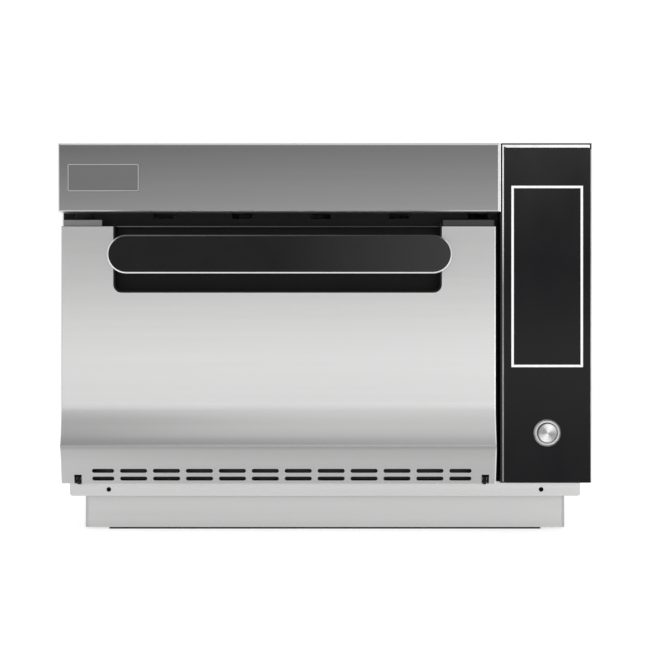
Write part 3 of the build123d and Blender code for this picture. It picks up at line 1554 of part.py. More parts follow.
def cooling_fan_rotor():
    """Axial rotor: a hub cup on the fixed pin and twisted blades lofted from root to tip."""
    x, z = bay_centre_x, cooler_z
    high_y = cooler_back_y() - cooler_strut_depth - cooler_tip_gap
    low_y = cooler_back_y() - cooler_depth + cooler_tip_gap
    hub = rod_y(0, 0, cooler_hub_diameter / 2, low_y, high_y)
    root_r = cooler_hub_diameter / 2 - cooler_blade_thickness
    tip_r = cooler_bore_diameter / 2 - cooler_tip_gap
    chord = (high_y - low_y) - cooler_blade_thickness - cooler_blade_thickness
    middle_y = (low_y + high_y) / 2
    sections = []
    for radius, angle in ((root_r, cooler_blade_twist), (tip_r, cooler_blade_twist + cooler_blade_twist / 2)):
        plane = Plane(origin=(radius, middle_y, 0), x_dir=(0, 1, 0), z_dir=(1, 0, 0))
        length = chord / math.cos(math.radians(angle)) * (1 - cooler_blade_thickness / chord)
        sections.append(plane * (Rot(0, 0, angle) * Rectangle(length, cooler_blade_thickness)))
    blade = loft(sections, ruled=True)
    rotor = hub
    step = 360 / cooler_blade_count
    for index in range(cooler_blade_count):
        rotor = rotor + Rot(0, index * step, 0) * blade
    limit = rod_y(0, 0, tip_r, low_y, high_y)
    rotor = rotor & limit
    bore = rod_y(0, 0, cooler_shaft_diameter / 2 + shaft_fit, low_y + cooler_tip_gap, high_y + overrun)
    return Pos(x, 0, z) * (rotor - bore)


def component_shelf():
    """Shelf above the insulation, from the front frame to the rear panel, with a stiffening fold."""
    half = inner_half_width - shelf_side_gap
    shelf = block(-half, half, frame_back_y, rear_y - case_sheet - case_sheet, shelf_z,
                  shelf_z + shelf_sheet)
    for side in (-1, 1):
        edges = sorted((side * half, side * (half - shelf_sheet)))
        shelf = shelf + block(edges[0], edges[1], frame_back_y, rear_y - case_sheet - case_sheet,
                              shelf_z, shelf_z + board_rise)
    return shelf


def relay_board():
    """Power board on four posts on the shelf, with its relays."""
    x = cavity_centre_x
    y = cavity_middle_y
    low_z = shelf_z + shelf_sheet
    board_z = low_z + board_rise
    top_z = board_z + board_thickness
    body = block(x - board_width / 2, x + board_width / 2, y - board_depth / 2, y + board_depth / 2,
                 board_z, top_z)
    for side_x in (-1, 1):
        for side_y in (-1, 1):
            post_x = x + side_x * (board_width / 2 - board_rise)
            post_y = y + side_y * (board_depth / 2 - board_rise)
            body = body + rod_z(post_x, post_y, board_rise / 4, low_z, board_z)
    pitch = board_width / relay_count
    for index in range(relay_count):
        relay_x = x + (index - (relay_count - 1) / 2) * pitch
        body = body + block(relay_x - relay_width / 2, relay_x + relay_width / 2,
                            y - relay_depth / 2, y + relay_depth / 2, top_z, top_z + relay_height)
    return body


def line_filter():
    """Mains filter can in the left bay, with its mounting flanges."""
    x = -inner_half_width + wrap_foot_width + filter_width / 2
    high_y = rear_y - filter_rear_gap
    low_y = high_y - filter_length
    low_z = floor_z
    body = block(x - filter_width / 2, x + filter_width / 2, low_y, high_y, low_z, low_z + filter_height)
    body = fillet(body.edges().filter_by(Axis.Y).group_by(Axis.Z)[-1], filter_flange_thickness)
    return body + block(x - filter_width / 2, x + filter_width / 2, low_y - filter_flange,
                        high_y + filter_flange, low_z, low_z + filter_flange_thickness)


def terminal_block():
    """Screw terminal block on the inside of the rear panel, above the gland."""
    x, gland_z = gland_place()
    low_x = -inner_half_width + screw_edge + screw_edge
    z = floor_z + terminal_rise
    high_y = rear_y - case_sheet
    body = block(low_x, low_x + terminal_width, high_y - terminal_depth, high_y,
                 z - terminal_height / 2, z + terminal_height / 2)
    pitch = terminal_width / terminal_ways
    for index in range(terminal_ways):
        centre = low_x + (index + 1 / 2) * pitch
        body = body - block(centre - terminal_slot / 2, centre + terminal_slot / 2,
                            high_y - terminal_depth - overrun, high_y - terminal_depth / 2,
                            z - terminal_height / 4, z + terminal_height / 4)
    return body


def cable_gland():
    """Cable gland through the rear panel, with a hexagonal flange, a dome and a bore for the cord."""
    x, z = gland_place()
    inner = gland_bore_diameter / 2
    barrel = gland_diameter / 2 - pocket_fit
    flange = gland_diameter / 2 + bezel_wall + bezel_wall
    points = [
        (inner, rear_y - gland_length / 2),
        (barrel, rear_y - gland_length / 2),
        (barrel, rear_y),
        (flange, rear_y),
        (flange, rear_y + case_sheet),
        (inner + bezel_wall, rear_y + case_sheet),
        (inner, rear_y + case_sheet),
    ]
    return turned_y(x, z, points)


def in_pairs(make, places):
    """The same solid made at each place, kept as separate solids of one node."""
    return Compound(children=[make(place) for place in places])


NODES = {
    "cabinet_wrap": cabinet_wrap,
    "rear_panel": rear_panel,
    "rear_panel_screws": rear_panel_screws,
    "top_fascia": top_fascia,
    "control_housing": control_housing,
    "control_bezel": control_bezel,
    "control_overlay": control_overlay,
    "display_module": display_module,
    "control_board": control_board,
    "button_bezel": button_bezel,
    "button_nut": button_nut,
    "button_cap": button_cap,
    "button_spring": button_spring,
    "button_switch": button_switch,
    "base_pan": base_pan,
    "plinth": plinth,
    "foot_strips": foot_strips,
    "front_frame": front_frame,
    "cavity_liner": cavity_liner,
    "ceramic_floor_plate": ceramic_floor_plate,
    "jet_plate": jet_plate,
    "rear_baffle": rear_baffle,
    "insulation_blanket": insulation_blanket,
    "oven_rack": oven_rack,
    "rack_rails": rack_rails,
    "convection_impeller": convection_impeller,
    "impeller_shaft": impeller_shaft,
    "convection_motor": convection_motor,
    "heater_ring": heater_ring,
    "catalyst": catalyst,
    "stirrer": stirrer,
    "stirrer_motor": stirrer_motor,
    "waveguides": lambda: in_pairs(waveguide, guide_places()),
    "front_magnetron": lambda: magnetron(guide_places()[0]),
    "rear_magnetron": lambda: magnetron(guide_places()[1]),
    "front_transformer": lambda: transformer(1),
    "rear_transformer": lambda: transformer(0),
    "high_voltage_capacitors": capacitors,
    "cooling_fan_frame": cooling_fan_frame,
    "cooling_fan_rotor": cooling_fan_rotor,
    "component_shelf": component_shelf,
    "relay_board": relay_board,
    "line_filter": line_filter,
    "terminal_block": terminal_block,
    "cable_gland": cable_gland,
    "door_switches": door_switches,
    "hinge_arms": lambda: in_pairs(hinge_arm, hinge_places()),
    "hinge_channels": lambda: in_pairs(hinge_channel, hinge_places()),
    "hinge_pins": hinge_pins,
    "latch_hooks": lambda: in_pairs(latch_hook, latch_places()),
    "door_skin": door_skin,
    "door_inner_frame": door_inner_frame,
    "door_insulation": door_insulation,
    "choke_cover": choke_cover,
    "door_plug": door_plug,
    "handle_pocket": handle_pocket,
    "handle_core": handle_core,
    "handle_cover": handle_cover,
    "handle_posts": handle_posts,
    "handle_screws": handle_screws,
}


def main():
    """Write one STEP file for each piece."""
    os.makedirs("parts", exist_ok=True)
    for name, make in NODES.items():
        export_step(make(), f"parts/{name}.step")
    print("wrote", len(NODES), "pieces")


main()
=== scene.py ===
# %% [markdown]
# # A countertop speed oven in the studio
# This lesson takes a finished CAD model of a speed oven and dresses it for a photograph.
# The CAD model brings every sheet, hinge and fan in its real place. Our work is the finishes, the few
# thin pieces that are too slight for the CAD model, the light and the camera.
# All lengths are in metres, +Z is up, and the oven's front faces -Y.

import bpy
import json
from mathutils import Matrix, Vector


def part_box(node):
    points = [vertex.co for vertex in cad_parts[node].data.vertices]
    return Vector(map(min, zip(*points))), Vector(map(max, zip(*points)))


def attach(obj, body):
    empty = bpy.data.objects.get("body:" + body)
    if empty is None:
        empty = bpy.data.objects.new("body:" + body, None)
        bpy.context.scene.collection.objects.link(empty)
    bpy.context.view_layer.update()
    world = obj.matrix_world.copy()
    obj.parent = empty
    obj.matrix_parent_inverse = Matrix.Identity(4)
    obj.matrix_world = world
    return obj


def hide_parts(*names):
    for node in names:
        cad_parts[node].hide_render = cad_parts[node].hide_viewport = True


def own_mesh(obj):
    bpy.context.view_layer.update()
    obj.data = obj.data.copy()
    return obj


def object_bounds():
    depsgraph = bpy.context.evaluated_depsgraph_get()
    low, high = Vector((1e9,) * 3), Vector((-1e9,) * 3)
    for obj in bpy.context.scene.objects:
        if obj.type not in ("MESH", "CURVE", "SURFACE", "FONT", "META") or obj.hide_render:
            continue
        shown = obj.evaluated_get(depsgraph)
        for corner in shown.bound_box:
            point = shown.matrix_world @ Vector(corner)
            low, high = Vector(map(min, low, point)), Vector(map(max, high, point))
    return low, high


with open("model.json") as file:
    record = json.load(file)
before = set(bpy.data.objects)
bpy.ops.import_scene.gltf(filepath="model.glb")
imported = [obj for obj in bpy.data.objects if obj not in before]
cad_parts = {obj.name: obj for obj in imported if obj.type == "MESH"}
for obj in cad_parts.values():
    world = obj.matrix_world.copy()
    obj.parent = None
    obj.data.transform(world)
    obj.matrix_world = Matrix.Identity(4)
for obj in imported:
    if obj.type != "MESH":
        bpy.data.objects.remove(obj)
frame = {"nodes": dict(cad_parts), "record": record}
cad_low, cad_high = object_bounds()
print("pieces in the frame:", len(frame["nodes"]))
print("CAD box in metres:", tuple(round(v, 4) for v in cad_high - cad_low))

# %% Tools for the lesson
import json
import math

import bpy
import numpy as np
from mathutils import Vector

MM = 0.001
slot_of_node = {part["node"]: part["material_slot"] for part in frame["record"]["subparts"]}
print("slots in use:", len(set(slot_of_node.values())))

# %% [markdown]
# ## A surface carried round a rectangle
# Two pieces of this oven are thin rings or plates with four corners. Both can be worked out the same way:
# a small section is carried round a rectangle, and every point of the result comes from one formula.
# Whole arrays do the work, so there is no loop over points.


# %% The path and its section
def new_piece(name, coords, faces):
    """Object at the origin with a mesh of the given points and faces, linked into the scene."""
    mesh = bpy.data.meshes.new(name)
    mesh.from_pydata(coords.reshape(-1, 3).tolist(), [], faces)
    mesh.update()
    piece = bpy.data.objects.new(name, mesh)
    bpy.context.scene.collection.objects.link(piece)
    return piece


def corner_path(width, height, radius, steps):
    """Points and outward directions of a rounded rectangle.

    Each corner is a quarter circle of the given radius about a centre that lies one radius inside the
    corner. A point is that centre plus the radius times the direction (cos a, sin a), and the straight
    sides are the gaps between one corner's last point and the next one's first."""
    angles = np.linspace(0, math.pi / 2, steps)
    turns = np.arange(4) * math.pi / 2
    around = (turns[:, None] + angles[None, :]).ravel()
    outward = np.stack([np.cos(around), np.sin(around)], axis=1)
    signs = np.repeat(np.array([[1, 1], [-1, 1], [-1, -1], [1, -1]]), steps, axis=0)
    centres = signs * np.array([width / 2 - radius, height / 2 - radius])
    return centres + radius * outward, outward


def square_path(width, height):
    """The four corners of a plain rectangle, each with its diagonal (+-1, +-1) as outward direction, so
    that a section carried round it meets itself in a mitre."""
    signs = np.array([[1, 1], [-1, 1], [-1, -1], [1, -1]])
    return signs * np.array([width / 2, height / 2]), signs


def carried_round(name, centre_x, centre_z, y_seat, path, section, close_front=False):
    """Mesh of a section carried round a path that faces -Y.

    A section point (o, f) lands at path point + o times the outward direction, and f in front of the
    seat. The section closes on itself, or with close_front its two end rings get flat faces instead."""
    points, outward = path
    offsets = np.array(section)
    spread = points[:, None, :] + outward[:, None, :] * offsets[None, :, :1]
    count, rows = spread.shape[:2]
    coords = np.empty((count, rows, 3))
    coords[..., 0] = centre_x + spread[..., 0]
    coords[..., 1] = y_seat - offsets[None, :, 1]
    coords[..., 2] = centre_z + spread[..., 1]
    around = np.arange(count)[:, None]
    step = np.arange(rows - 1 if close_front else rows)[None, :]
    here, there = around * rows, (around + 1) % count * rows
    after = (step + 1) % rows
    quads = np.stack([here + step, there + step, there + after, here + after], axis=-1).reshape(-1, 4)
    faces = quads.tolist()
    if close_front:
        seat_ring = np.arange(count) * rows
        faces.append((seat_ring + rows - 1).tolist())
        faces.append(seat_ring[::-1].tolist())
    return new_piece(name, coords, faces)


def middle(node):
    """Middle of a CAD node's box."""
    low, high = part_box(node)
    return (low + high) / 2


overlay_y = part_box("control_overlay")[0].y
print("the overlay's front lies at y =", round(overlay_y, 4))

# %% [markdown]
# ## The printed line round the display
# On the real panel the display area is framed by a white line, screen printed on the black glass.
# It could be painted by a material, but a piece of its own keeps its edges crisp at any distance.
# A real print is a few hundredths of a millimetre thick, so this ring stands 0.06 mm proud.

# %% Display line
line_width = 2.9 * MM
line_depth = 0.06 * MM
line_wider_than_window = 0.2 * MM
line_shift = 0.25 * MM
display_low, display_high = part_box("display_module")
line_size = (display_high.x - display_low.x + line_wider_than_window, display_high.z - display_low.z)
line_centre_x = middle("display_module").x + line_shift
line_centre_z = middle("display_module").z
line_section = [(-line_width, 0), (-line_width, line_depth), (0, line_depth), (0, 0)]
display_line = carried_round("display_line", line_centre_x, line_centre_z, overlay_y,
                             square_path(*line_size), line_section)
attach(display_line, "cabinet")
print("display line:", len(display_line.data.polygons), "faces")

# %% [markdown]
# ## The plate on the fascia
# A small metal plate sits at the fascia's left, and its face is plain. Its edge is rounded over and stands
# a little above the sunk middle, so the section climbs from the sheet, rounds over, runs in along the rim
# and drops to the flat face.

# %% Fascia plate
plate_size = (87.0 * MM, 33.6 * MM)
plate_left_margin = 11.3 * MM
plate_top_drop = 25.3 * MM
plate_thickness = 1.5 * MM
plate_corner = 2.0 * MM
plate_corner_points = 6
plate_edge = 0.5 * MM
plate_edge_points = 5
plate_rim = 1.3 * MM
plate_sink = 0.4 * MM
fascia_low, fascia_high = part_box("top_fascia")
plate_x = fascia_low.x + plate_left_margin + plate_size[0] / 2
plate_z = fascia_high.z - plate_top_drop - plate_size[1] / 2
rounded_edge = [(plate_edge * (math.cos(a) - 1), plate_thickness + plate_edge * (math.sin(a) - 1))
                for a in np.linspace(0, math.pi / 2, plate_edge_points)]
rim_and_face = [(-plate_rim, plate_thickness), (-plate_rim - plate_sink, plate_thickness - plate_sink)]
fascia_plate = carried_round("fascia_plate", plate_x, plate_z, fascia_low.y,
                             corner_path(*plate_size, plate_corner, plate_corner_points),
                             [(0, 0)] + rounded_edge + rim_and_face, close_front=True)
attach(fascia_plate, "cabinet")
print("fascia plate:", len(fascia_plate.data.polygons), "faces")
print("its middle lies at x, z:", round(plate_x, 4), round(plate_z, 4))

# %% [markdown]
# ## The bead at the fascia's end
# Where the fascia meets the control column, its end flange carries a thin bright bead from top to bottom.
# It is too slight for the CAD model. Its section is half an ellipse in front of a short straight back, and
# the section is simply drawn up to the fascia's height.


# %% Fascia bead
def drawn_up(name, outline, z_low, z_high):
    """Closed prism: an outline of points (x, y), the same at two heights, with a flat face at each end."""
    outline = np.array(outline)
    count = len(outline)
    coords = np.empty((2, count, 3))
    coords[..., :2] = outline
    coords[0, :, 2], coords[1, :, 2] = z_low, z_high
    here = np.arange(count)
    there = (here + 1) % count
    walls = np.stack([here, there, there + count, here + count], axis=1)
    return new_piece(name, coords, walls.tolist() + [here[::-1].tolist(), (here + count).tolist()])


bead_width = 1.7 * MM
bead_round = 0.5 * MM
bead_depth = 6.0 * MM
bead_end_gap = 0.2 * MM
bead_points = 13
bead_x = fascia_high.x + bead_width / 2
bead_back_y = fascia_low.y + bead_depth
bead_outline = [(bead_x + bead_width / 2 * math.cos(a), fascia_low.y + bead_round * (1 + math.sin(a)))
                for a in np.linspace(math.pi, 2 * math.pi, bead_points)]
bead_outline += [(fascia_high.x + bead_width, bead_back_y), (fascia_high.x, bead_back_y)]
fascia_bead = drawn_up("fascia_bead", bead_outline,
                       fascia_low.z + bead_end_gap, fascia_high.z - bead_end_gap)
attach(fascia_bead, "cabinet")
print("fascia bead:", len(fascia_bead.data.polygons), "faces")

# %% [markdown]
# ## The spring behind the button
# The button's spring is the one piece that changes its shape: its rear turn stays on the switch while the
# cap pushes the front turn in. It is the CAD spring's own wire, standing in for it.

# %% Return spring
return_spring = bpy.data.objects.new("return_spring", frame["nodes"]["button_spring"].data.copy())
return_spring.data.materials.clear()
bpy.context.scene.collection.objects.link(return_spring)
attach(return_spring, "cabinet")
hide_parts("button_spring")
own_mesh(return_spring)

# %% [markdown]
# ## Finishes
# Every finish starts from one Principled shader. Numbers that are the same all over the surface are set
# on the shader itself. What varies, such as the brushing of steel, comes from noise that reads the
# piece's own coordinates, so it stays with the piece from every side.


# %% A plain start for every finish
def grey(tone):
    """The same tone for red, green and blue."""
    return (tone, tone, tone)


def base_finish(name, colour, roughness, metallic=0.0, specular=0.5):
    """New material with a Principled shader and its plain numbers, and the piece's own coordinates."""
    material = bpy.data.materials.new(name)
    material.use_nodes = True
    tree = material.node_tree
    shader = tree.nodes["Principled BSDF"]
    shader.inputs["Base Color"].default_value = (*colour, 1)
    shader.inputs["Roughness"].default_value = roughness
    shader.inputs["Metallic"].default_value = metallic
    shader.inputs["Specular IOR Level"].default_value = specular
    place = tree.nodes.new("ShaderNodeTexCoord").outputs["Object"]
    return material, tree, shader, place


def colour_below(material):
    """A finished material's tree, shader and coordinates, and what feeds its Base Color."""
    tree = material.node_tree
    shader = tree.nodes["Principled BSDF"]
    place = tree.nodes["Texture Coordinate"].outputs["Object"]
    return tree, shader, place, shader.inputs["Base Color"].links[0].from_socket


print("every finish starts from one Principled shader")

# %% [markdown]
# What varies over a piece is a value from 0 to 1: noise, a place along an axis, or the way that the
# surface faces. It then chooses between two roughnesses or two tones, or goes through a sum with another.


# %% Values that vary over a piece
def between(tree, value, low, high, from_low=0.3, from_high=0.7):
    """A value that runs from from_low to from_high, moved to the range low to high."""
    spread = tree.nodes.new("ShaderNodeMapRange")
    limits = {"From Min": from_low, "From Max": from_high, "To Min": low, "To Max": high}
    for socket, limit in limits.items():
        spread.inputs[socket].default_value = limit
    tree.links.new(value, spread.inputs["Value"])
    return spread.outputs["Result"]


def stretched_noise(tree, place, scale, detail=3.0):
    """Noise whose cells are stretched: each axis is multiplied by its own number of cells per metre."""
    mapping = tree.nodes.new("ShaderNodeMapping")
    mapping.inputs["Scale"].default_value = scale
    tree.links.new(place, mapping.inputs["Vector"])
    noise = tree.nodes.new("ShaderNodeTexNoise")
    noise.inputs["Scale"].default_value = 1.0
    noise.inputs["Detail"].default_value = detail
    tree.links.new(mapping.outputs["Vector"], noise.inputs["Vector"])
    return noise.outputs["Fac"]


def part_of(tree, vector, axis):
    """One of a vector's three numbers."""
    split = tree.nodes.new("ShaderNodeSeparateXYZ")
    tree.links.new(vector, split.inputs["Vector"])
    return split.outputs[axis]


def past(tree, place, axis, starts, full):
    """0 up to one place on an axis and 1 past another, which may lie on either side of it."""
    return between(tree, part_of(tree, place, axis), 0, 1, starts, full)


def facing(tree, axis, starts, full):
    """The same for the surface's own direction, whose part along an axis lies between -1 and 1."""
    return past(tree, tree.nodes.new("ShaderNodeTexCoord").outputs["Normal"], axis, starts, full)


print("three sources of a value: stretched noise, place and direction")


# %% Values and colours worked out from others
def feed(tree, socket, value):
    """Fill a socket: link another node's output to it, or set a plain number, vector or colour on it."""
    if isinstance(value, bpy.types.NodeSocket):
        tree.links.new(value, socket)
    elif socket.type == "RGBA":
        socket.default_value = (*value, 1)
    else:
        socket.default_value = value


def combined(tree, operation, first, *others):
    """Values through one maths operation, such as MAXIMUM or MULTIPLY, two at a time."""
    result = first
    for other in others:
        maths = tree.nodes.new("ShaderNodeMath")
        maths.operation = operation
        feed(tree, maths.inputs[0], result)
        feed(tree, maths.inputs[1], other)
        result = maths.outputs["Value"]
    return result


def vector_maths(tree, operation, *vectors):
    """One operation on one or two vectors. A LENGTH comes out as a plain value."""
    maths = tree.nodes.new("ShaderNodeVectorMath")
    maths.operation = operation
    for socket, vector in zip(maths.inputs, vectors):
        feed(tree, socket, vector)
    return maths.outputs["Value" if operation == "LENGTH" else "Vector"]


def scaled(tree, vector, factor):
    """A colour or a place multiplied by a value."""
    maths = tree.nodes.new("ShaderNodeVectorMath")
    maths.operation = "SCALE"
    tree.links.new(vector, maths.inputs[0])
    feed(tree, maths.inputs["Scale"], factor)
    return maths.outputs["Vector"]


def mixed(tree, value, first, second):
    """Colour that goes from the first to the second as the value goes from 0 to 1."""
    mix = tree.nodes.new("ShaderNodeMix")
    mix.data_type = "RGBA"
    for socket, source in (("Factor", value), ("A", first), ("B", second)):
        feed(tree, mix.inputs[socket], source)
    return mix.outputs["Result"]


def toned(tree, value, below, tone):
    """A colour that goes to one plain grey as the value goes from 0 to 1."""
    return mixed(tree, value, below, grey(tone))


def bumped(tree, shader, value, strength, distance):
    """Fine relief from a value, as a bump of the given depth."""
    bump = tree.nodes.new("ShaderNodeBump")
    bump.inputs["Strength"].default_value = strength
    bump.inputs["Distance"].default_value = distance
    tree.links.new(value, bump.inputs["Height"])
    tree.links.new(bump.outputs["Normal"], shader.inputs["Normal"])


print("values, colours and relief ready")

# %% [markdown]
# ## Brushed stainless sheet
# The sheet is rolled, then brushed in one direction. Up close that is a field of fine parallel lines;
# from a step away it is a soft sheen with faint streaks. Two layers of stretched noise do both: the fine
# one gives roughness and relief, the coarse one a slight change of tone along the sheet.
# The grain runs along X on everything that faces the cook, and along Y on the wrap.
# A folded sheet's edges get a painted highlight, a brighter tone than its face, and the inside of the door
# gets painted shade, a near-black tone that keeps its slots dark. Both depend only on where the sheet
# itself faces, which the shader knows as the surface's own normal.

# %% Brushed steel
# Cells of noise per metre along X, Y and Z, for a grain along each of the three axes.
brush_line_cells = {"x": (5, 700, 1500), "y": (1500, 5, 1500), "z": (1500, 700, 5)}
streak_cells = {"x": (1.2, 60, 110), "y": (110, 1.2, 110), "z": (110, 60, 1.2)}
brush_line_depth = 0.02 * MM
steel_tint = (1.0, 1.0, 0.995)


def brushed_steel(name, tone, roughness, grain="x", streak=0.03, relief=0.03, edge=None, inside=None):
    """Brushed metal with its lines along one axis.

    With an edge tone, everything that doesn't face forward takes it as a painted highlight. With an inside
    tone, everything that faces backward takes that as painted shade."""
    material, tree, shader, place = base_finish(name, grey(tone), roughness, metallic=1.0)
    lines = stretched_noise(tree, place, brush_line_cells[grain], detail=2.0)
    streaks = stretched_noise(tree, place, streak_cells[grain], detail=2.0)
    dark = tuple(tone * (1 - streak) * part for part in steel_tint)
    light = tuple(min(1.0, tone * (1 + streak)) * part for part in steel_tint)
    colour = mixed(tree, between(tree, streaks, 0, 1), dark, light)
    if edge is not None:
        # Painted highlight on the faces that turn away from the front.
        painted_edge_highlight = mixed(tree, streaks, grey(edge * 0.96), grey(edge))
        off_the_front = facing(tree, "Y", -0.97, -0.8)
        colour = mixed(tree, off_the_front, colour, painted_edge_highlight)
    if inside is not None:
        # Painted shade on the faces that look backward.
        painted_shade = mixed(tree, streaks, grey(inside * 0.8), grey(inside))
        backward = facing(tree, "Y", 0.3, 0.4)
        colour = mixed(tree, backward, colour, painted_shade)
    tree.links.new(colour, shader.inputs["Base Color"])
    tree.links.new(between(tree, lines, roughness * 0.96, roughness * 1.04), shader.inputs["Roughness"])
    bumped(tree, shader, lines, strength=relief, distance=brush_line_depth)
    return material


# The fascia's steel is a darker copy of the door's as painted shade, and its edge tone is a painted
# highlight.
steel_fascia_shaded = brushed_steel("steel_fascia_shaded", tone=0.163, roughness=0.34, streak=0.015, relief=0.02,
                             edge=0.52)
# The door's inside tone is painted shade.
steel_door = brushed_steel("steel_door", tone=0.35, roughness=0.25, streak=0.010, relief=0.012,
                           inside=0.02)
steel_rail = brushed_steel("steel_rail", tone=0.42, roughness=0.28)
steel_plinth = brushed_steel("steel_plinth", tone=0.41, roughness=0.36, streak=0.02)
steel_wrap = brushed_steel("steel_wrap", tone=0.46, roughness=0.30, grain="y", streak=0.02)
steel_inner = brushed_steel("steel_inner", tone=0.46, roughness=0.30)
steel_plate = brushed_steel("steel_plate", tone=0.135, roughness=0.30)
steel_plain = brushed_steel("steel_plain", tone=0.40, roughness=0.32, grain="z", streak=0.04)
print("brushed finishes:", [m.name for m in bpy.data.materials if m.name.startswith("steel_")])

# %% [markdown]
# The door's tray and the cavity's frame are plain steel too, but their forward faces are painted nearly
# black as painted shade. On the tray's top edge a paler band is painted light, strongest at the left.

# %% Steel in painted shade
# Painted light on the tray's top edge: its band, its share at the middle of the oven, and its tone.
lit_band = 2 * MM
least_lit = 0.1
painted_light_tone = 0.16


def shaded_front(name, tone, forward_shade_tone, roughness, lit_above=None):
    """Plain steel with painted shade on its forward faces, and painted light above a given height."""
    material, tree, shader, place = base_finish(name, grey(tone), roughness, metallic=1.0)
    streaks = stretched_noise(tree, place, streak_cells["x"], detail=2.0)
    steel = mixed(tree, streaks, grey(tone * 0.95), grey(tone))
    forward_shade = mixed(tree, streaks, grey(forward_shade_tone * 0.8), grey(forward_shade_tone))
    if lit_above is not None:
        at_edge = past(tree, place, "Z", lit_above, lit_above + lit_band)
        at_left = between(tree, part_of(tree, place, "X"), 1, least_lit, cad_low.x, 0.0)
        forward_shade = toned(tree, combined(tree, "MULTIPLY", at_edge, at_left), forward_shade, painted_light_tone)
    not_forward = facing(tree, "Y", -0.4, -0.3)
    tree.links.new(mixed(tree, not_forward, forward_shade, steel), shader.inputs["Base Color"])
    tree.links.new(between(tree, streaks, roughness * 0.9, roughness * 1.1), shader.inputs["Roughness"])
    return material


door_low, door_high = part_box("door_skin")
# Painted shade on the forward faces of the door's tray and the cavity's frame, with painted light on the
# tray's top edge.
door_tray = shaded_front("door_tray", tone=0.42, forward_shade_tone=0.03, roughness=0.35,
                         lit_above=door_high.z - 1 * MM)
cavity_frame = shaded_front("cavity_frame", tone=0.40, forward_shade_tone=0.012, roughness=0.4)
print("coated finishes:", door_tray.name, "and", cavity_frame.name)

# %% [markdown]
# ## Folds, rims and the drift of tone
# The fascia's tone is painted paler towards its lower edge and darker towards its top, as painted light and
# shade, and the fold along its top carries a painted highlight. The door's side and top folds carry painted
# highlights too, but its curved lip doesn't, so the direction alone can't tell them apart: the place on the
# door has to say the rest. The lip's crown carries painted shade, and the lip below it is painted a little
# paler as painted light. The plinth is painted near black as painted shade where it is hidden behind the
# rail, which is what the rail's two holes show.

# %% Fascia folds
# Painted light and shade: the fascia's tone runs from paler below to darker above, and its folds take
# painted highlight tones.
painted_light_below, painted_shade_above = 1.24, 0.74
top_fold_highlight_tone = 0.55
end_fold_highlight_tone = 0.95
tree, shader, place, colour = colour_below(steel_fascia_shaded)
drift = between(tree, part_of(tree, place, "Z"), painted_light_below, painted_shade_above, fascia_low.z, fascia_high.z)
top_fold = facing(tree, "Z", 0.05, 0.2)
end_fold = facing(tree, "X", 0.3, 0.5)
colour = toned(tree, top_fold, scaled(tree, colour, drift), top_fold_highlight_tone)
tree.links.new(toned(tree, end_fold, colour, end_fold_highlight_tone), shader.inputs["Base Color"])
print("the fascia's tone falls from", painted_light_below, "to", painted_shade_above, "times its own")

# %% [markdown]
# Each of the door's fold highlights is a narrow band along one edge: an axis, the place where the band
# starts, the place where it is full, and its tone. Below its crown the lip is painted a little paler as
# painted light, and the crown is one more band, of painted shade, with a soft edge below it and above it.

# %% Door folds and lip
tree, shader, place, colour = colour_below(steel_door)
outer_side = facing(tree, "Y", 0.1, 0.0)
# Painted highlights on the door's right, left and top folds.
folds = (("X", door_high.x - 1.9 * MM, door_high.x - 1.5 * MM, 0.60),
         ("X", door_low.x + 1.4 * MM, door_low.x + 0.8 * MM, 0.50),
         ("Z", door_high.z - 1.4 * MM, door_high.z - 0.9 * MM, 0.42))
for axis, starts, full, tone in folds:
    fold = combined(tree, "MULTIPLY", past(tree, place, axis, starts, full), outer_side)
    colour = toned(tree, fold, colour, tone)

crown_z = door_low.z + 47 * MM
crown_lower_edge = (crown_z - 6 * MM, crown_z - 0.5 * MM)
crown_upper_edge = (crown_z + 2 * MM, crown_z + 0.5 * MM)
# Painted shade on the crown, and painted light on the lip below it.
crown_shade_tone = 0.25
lip_fade = (crown_z - 20 * MM, crown_z - 4 * MM)
lip_light_gain = 1.15
lip = between(tree, part_of(tree, place, "Z"), lip_light_gain, 1.0, *lip_fade)
crown = combined(tree, "MULTIPLY", past(tree, place, "Z", *crown_lower_edge),
                 past(tree, place, "Z", *crown_upper_edge), outer_side)
tree.links.new(toned(tree, crown, scaled(tree, colour, lip), crown_shade_tone), shader.inputs["Base Color"])
print("the lip's crown lies at z =", round(crown_z, 4))

# %% Plinth shade and plate rim
# Painted shade: the plinth is near black where it is hidden behind the rail.
hidden_shade_tone = 0.01
hidden_shade_edge = 0.5 * MM
tree, shader, place, colour = colour_below(steel_plinth)
rail_low_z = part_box("base_pan")[0].z
hidden_shade_mask = past(tree, place, "Z", rail_low_z, rail_low_z + hidden_shade_edge)
tree.links.new(toned(tree, hidden_shade_mask, colour, hidden_shade_tone), shader.inputs["Base Color"])

rim_tone = 0.34
plate_front_y = fascia_low.y - plate_thickness
rim_front = (plate_front_y + 0.3 * MM, plate_front_y + 0.1 * MM)
tree, shader, place, colour = colour_below(steel_plate)
tree.links.new(toned(tree, past(tree, place, "Y", *rim_front), colour, rim_tone),
               shader.inputs["Base Color"])
print("plinth_shade and rim toned")

# %% [markdown]
# ## The turned button
# The push button and its ring are turned on a lathe, so their lines are circles about the button's axis.
# The distance from that axis feeds a one-dimensional noise: every point of a circle gets the same value.
# Lines that run round an axis also stretch every reflection across them, which gives a turned face its
# bright wedges. That is the shader's anisotropy, with a tangent that goes round the same axis. On the cap
# two brighter sectors are also painted on as a painted highlight.

# %% Turned steel
tool_marks_per_metre = 2600
# Angle of the painted highlight sectors on the cap.
highlight_angle = math.radians(65)


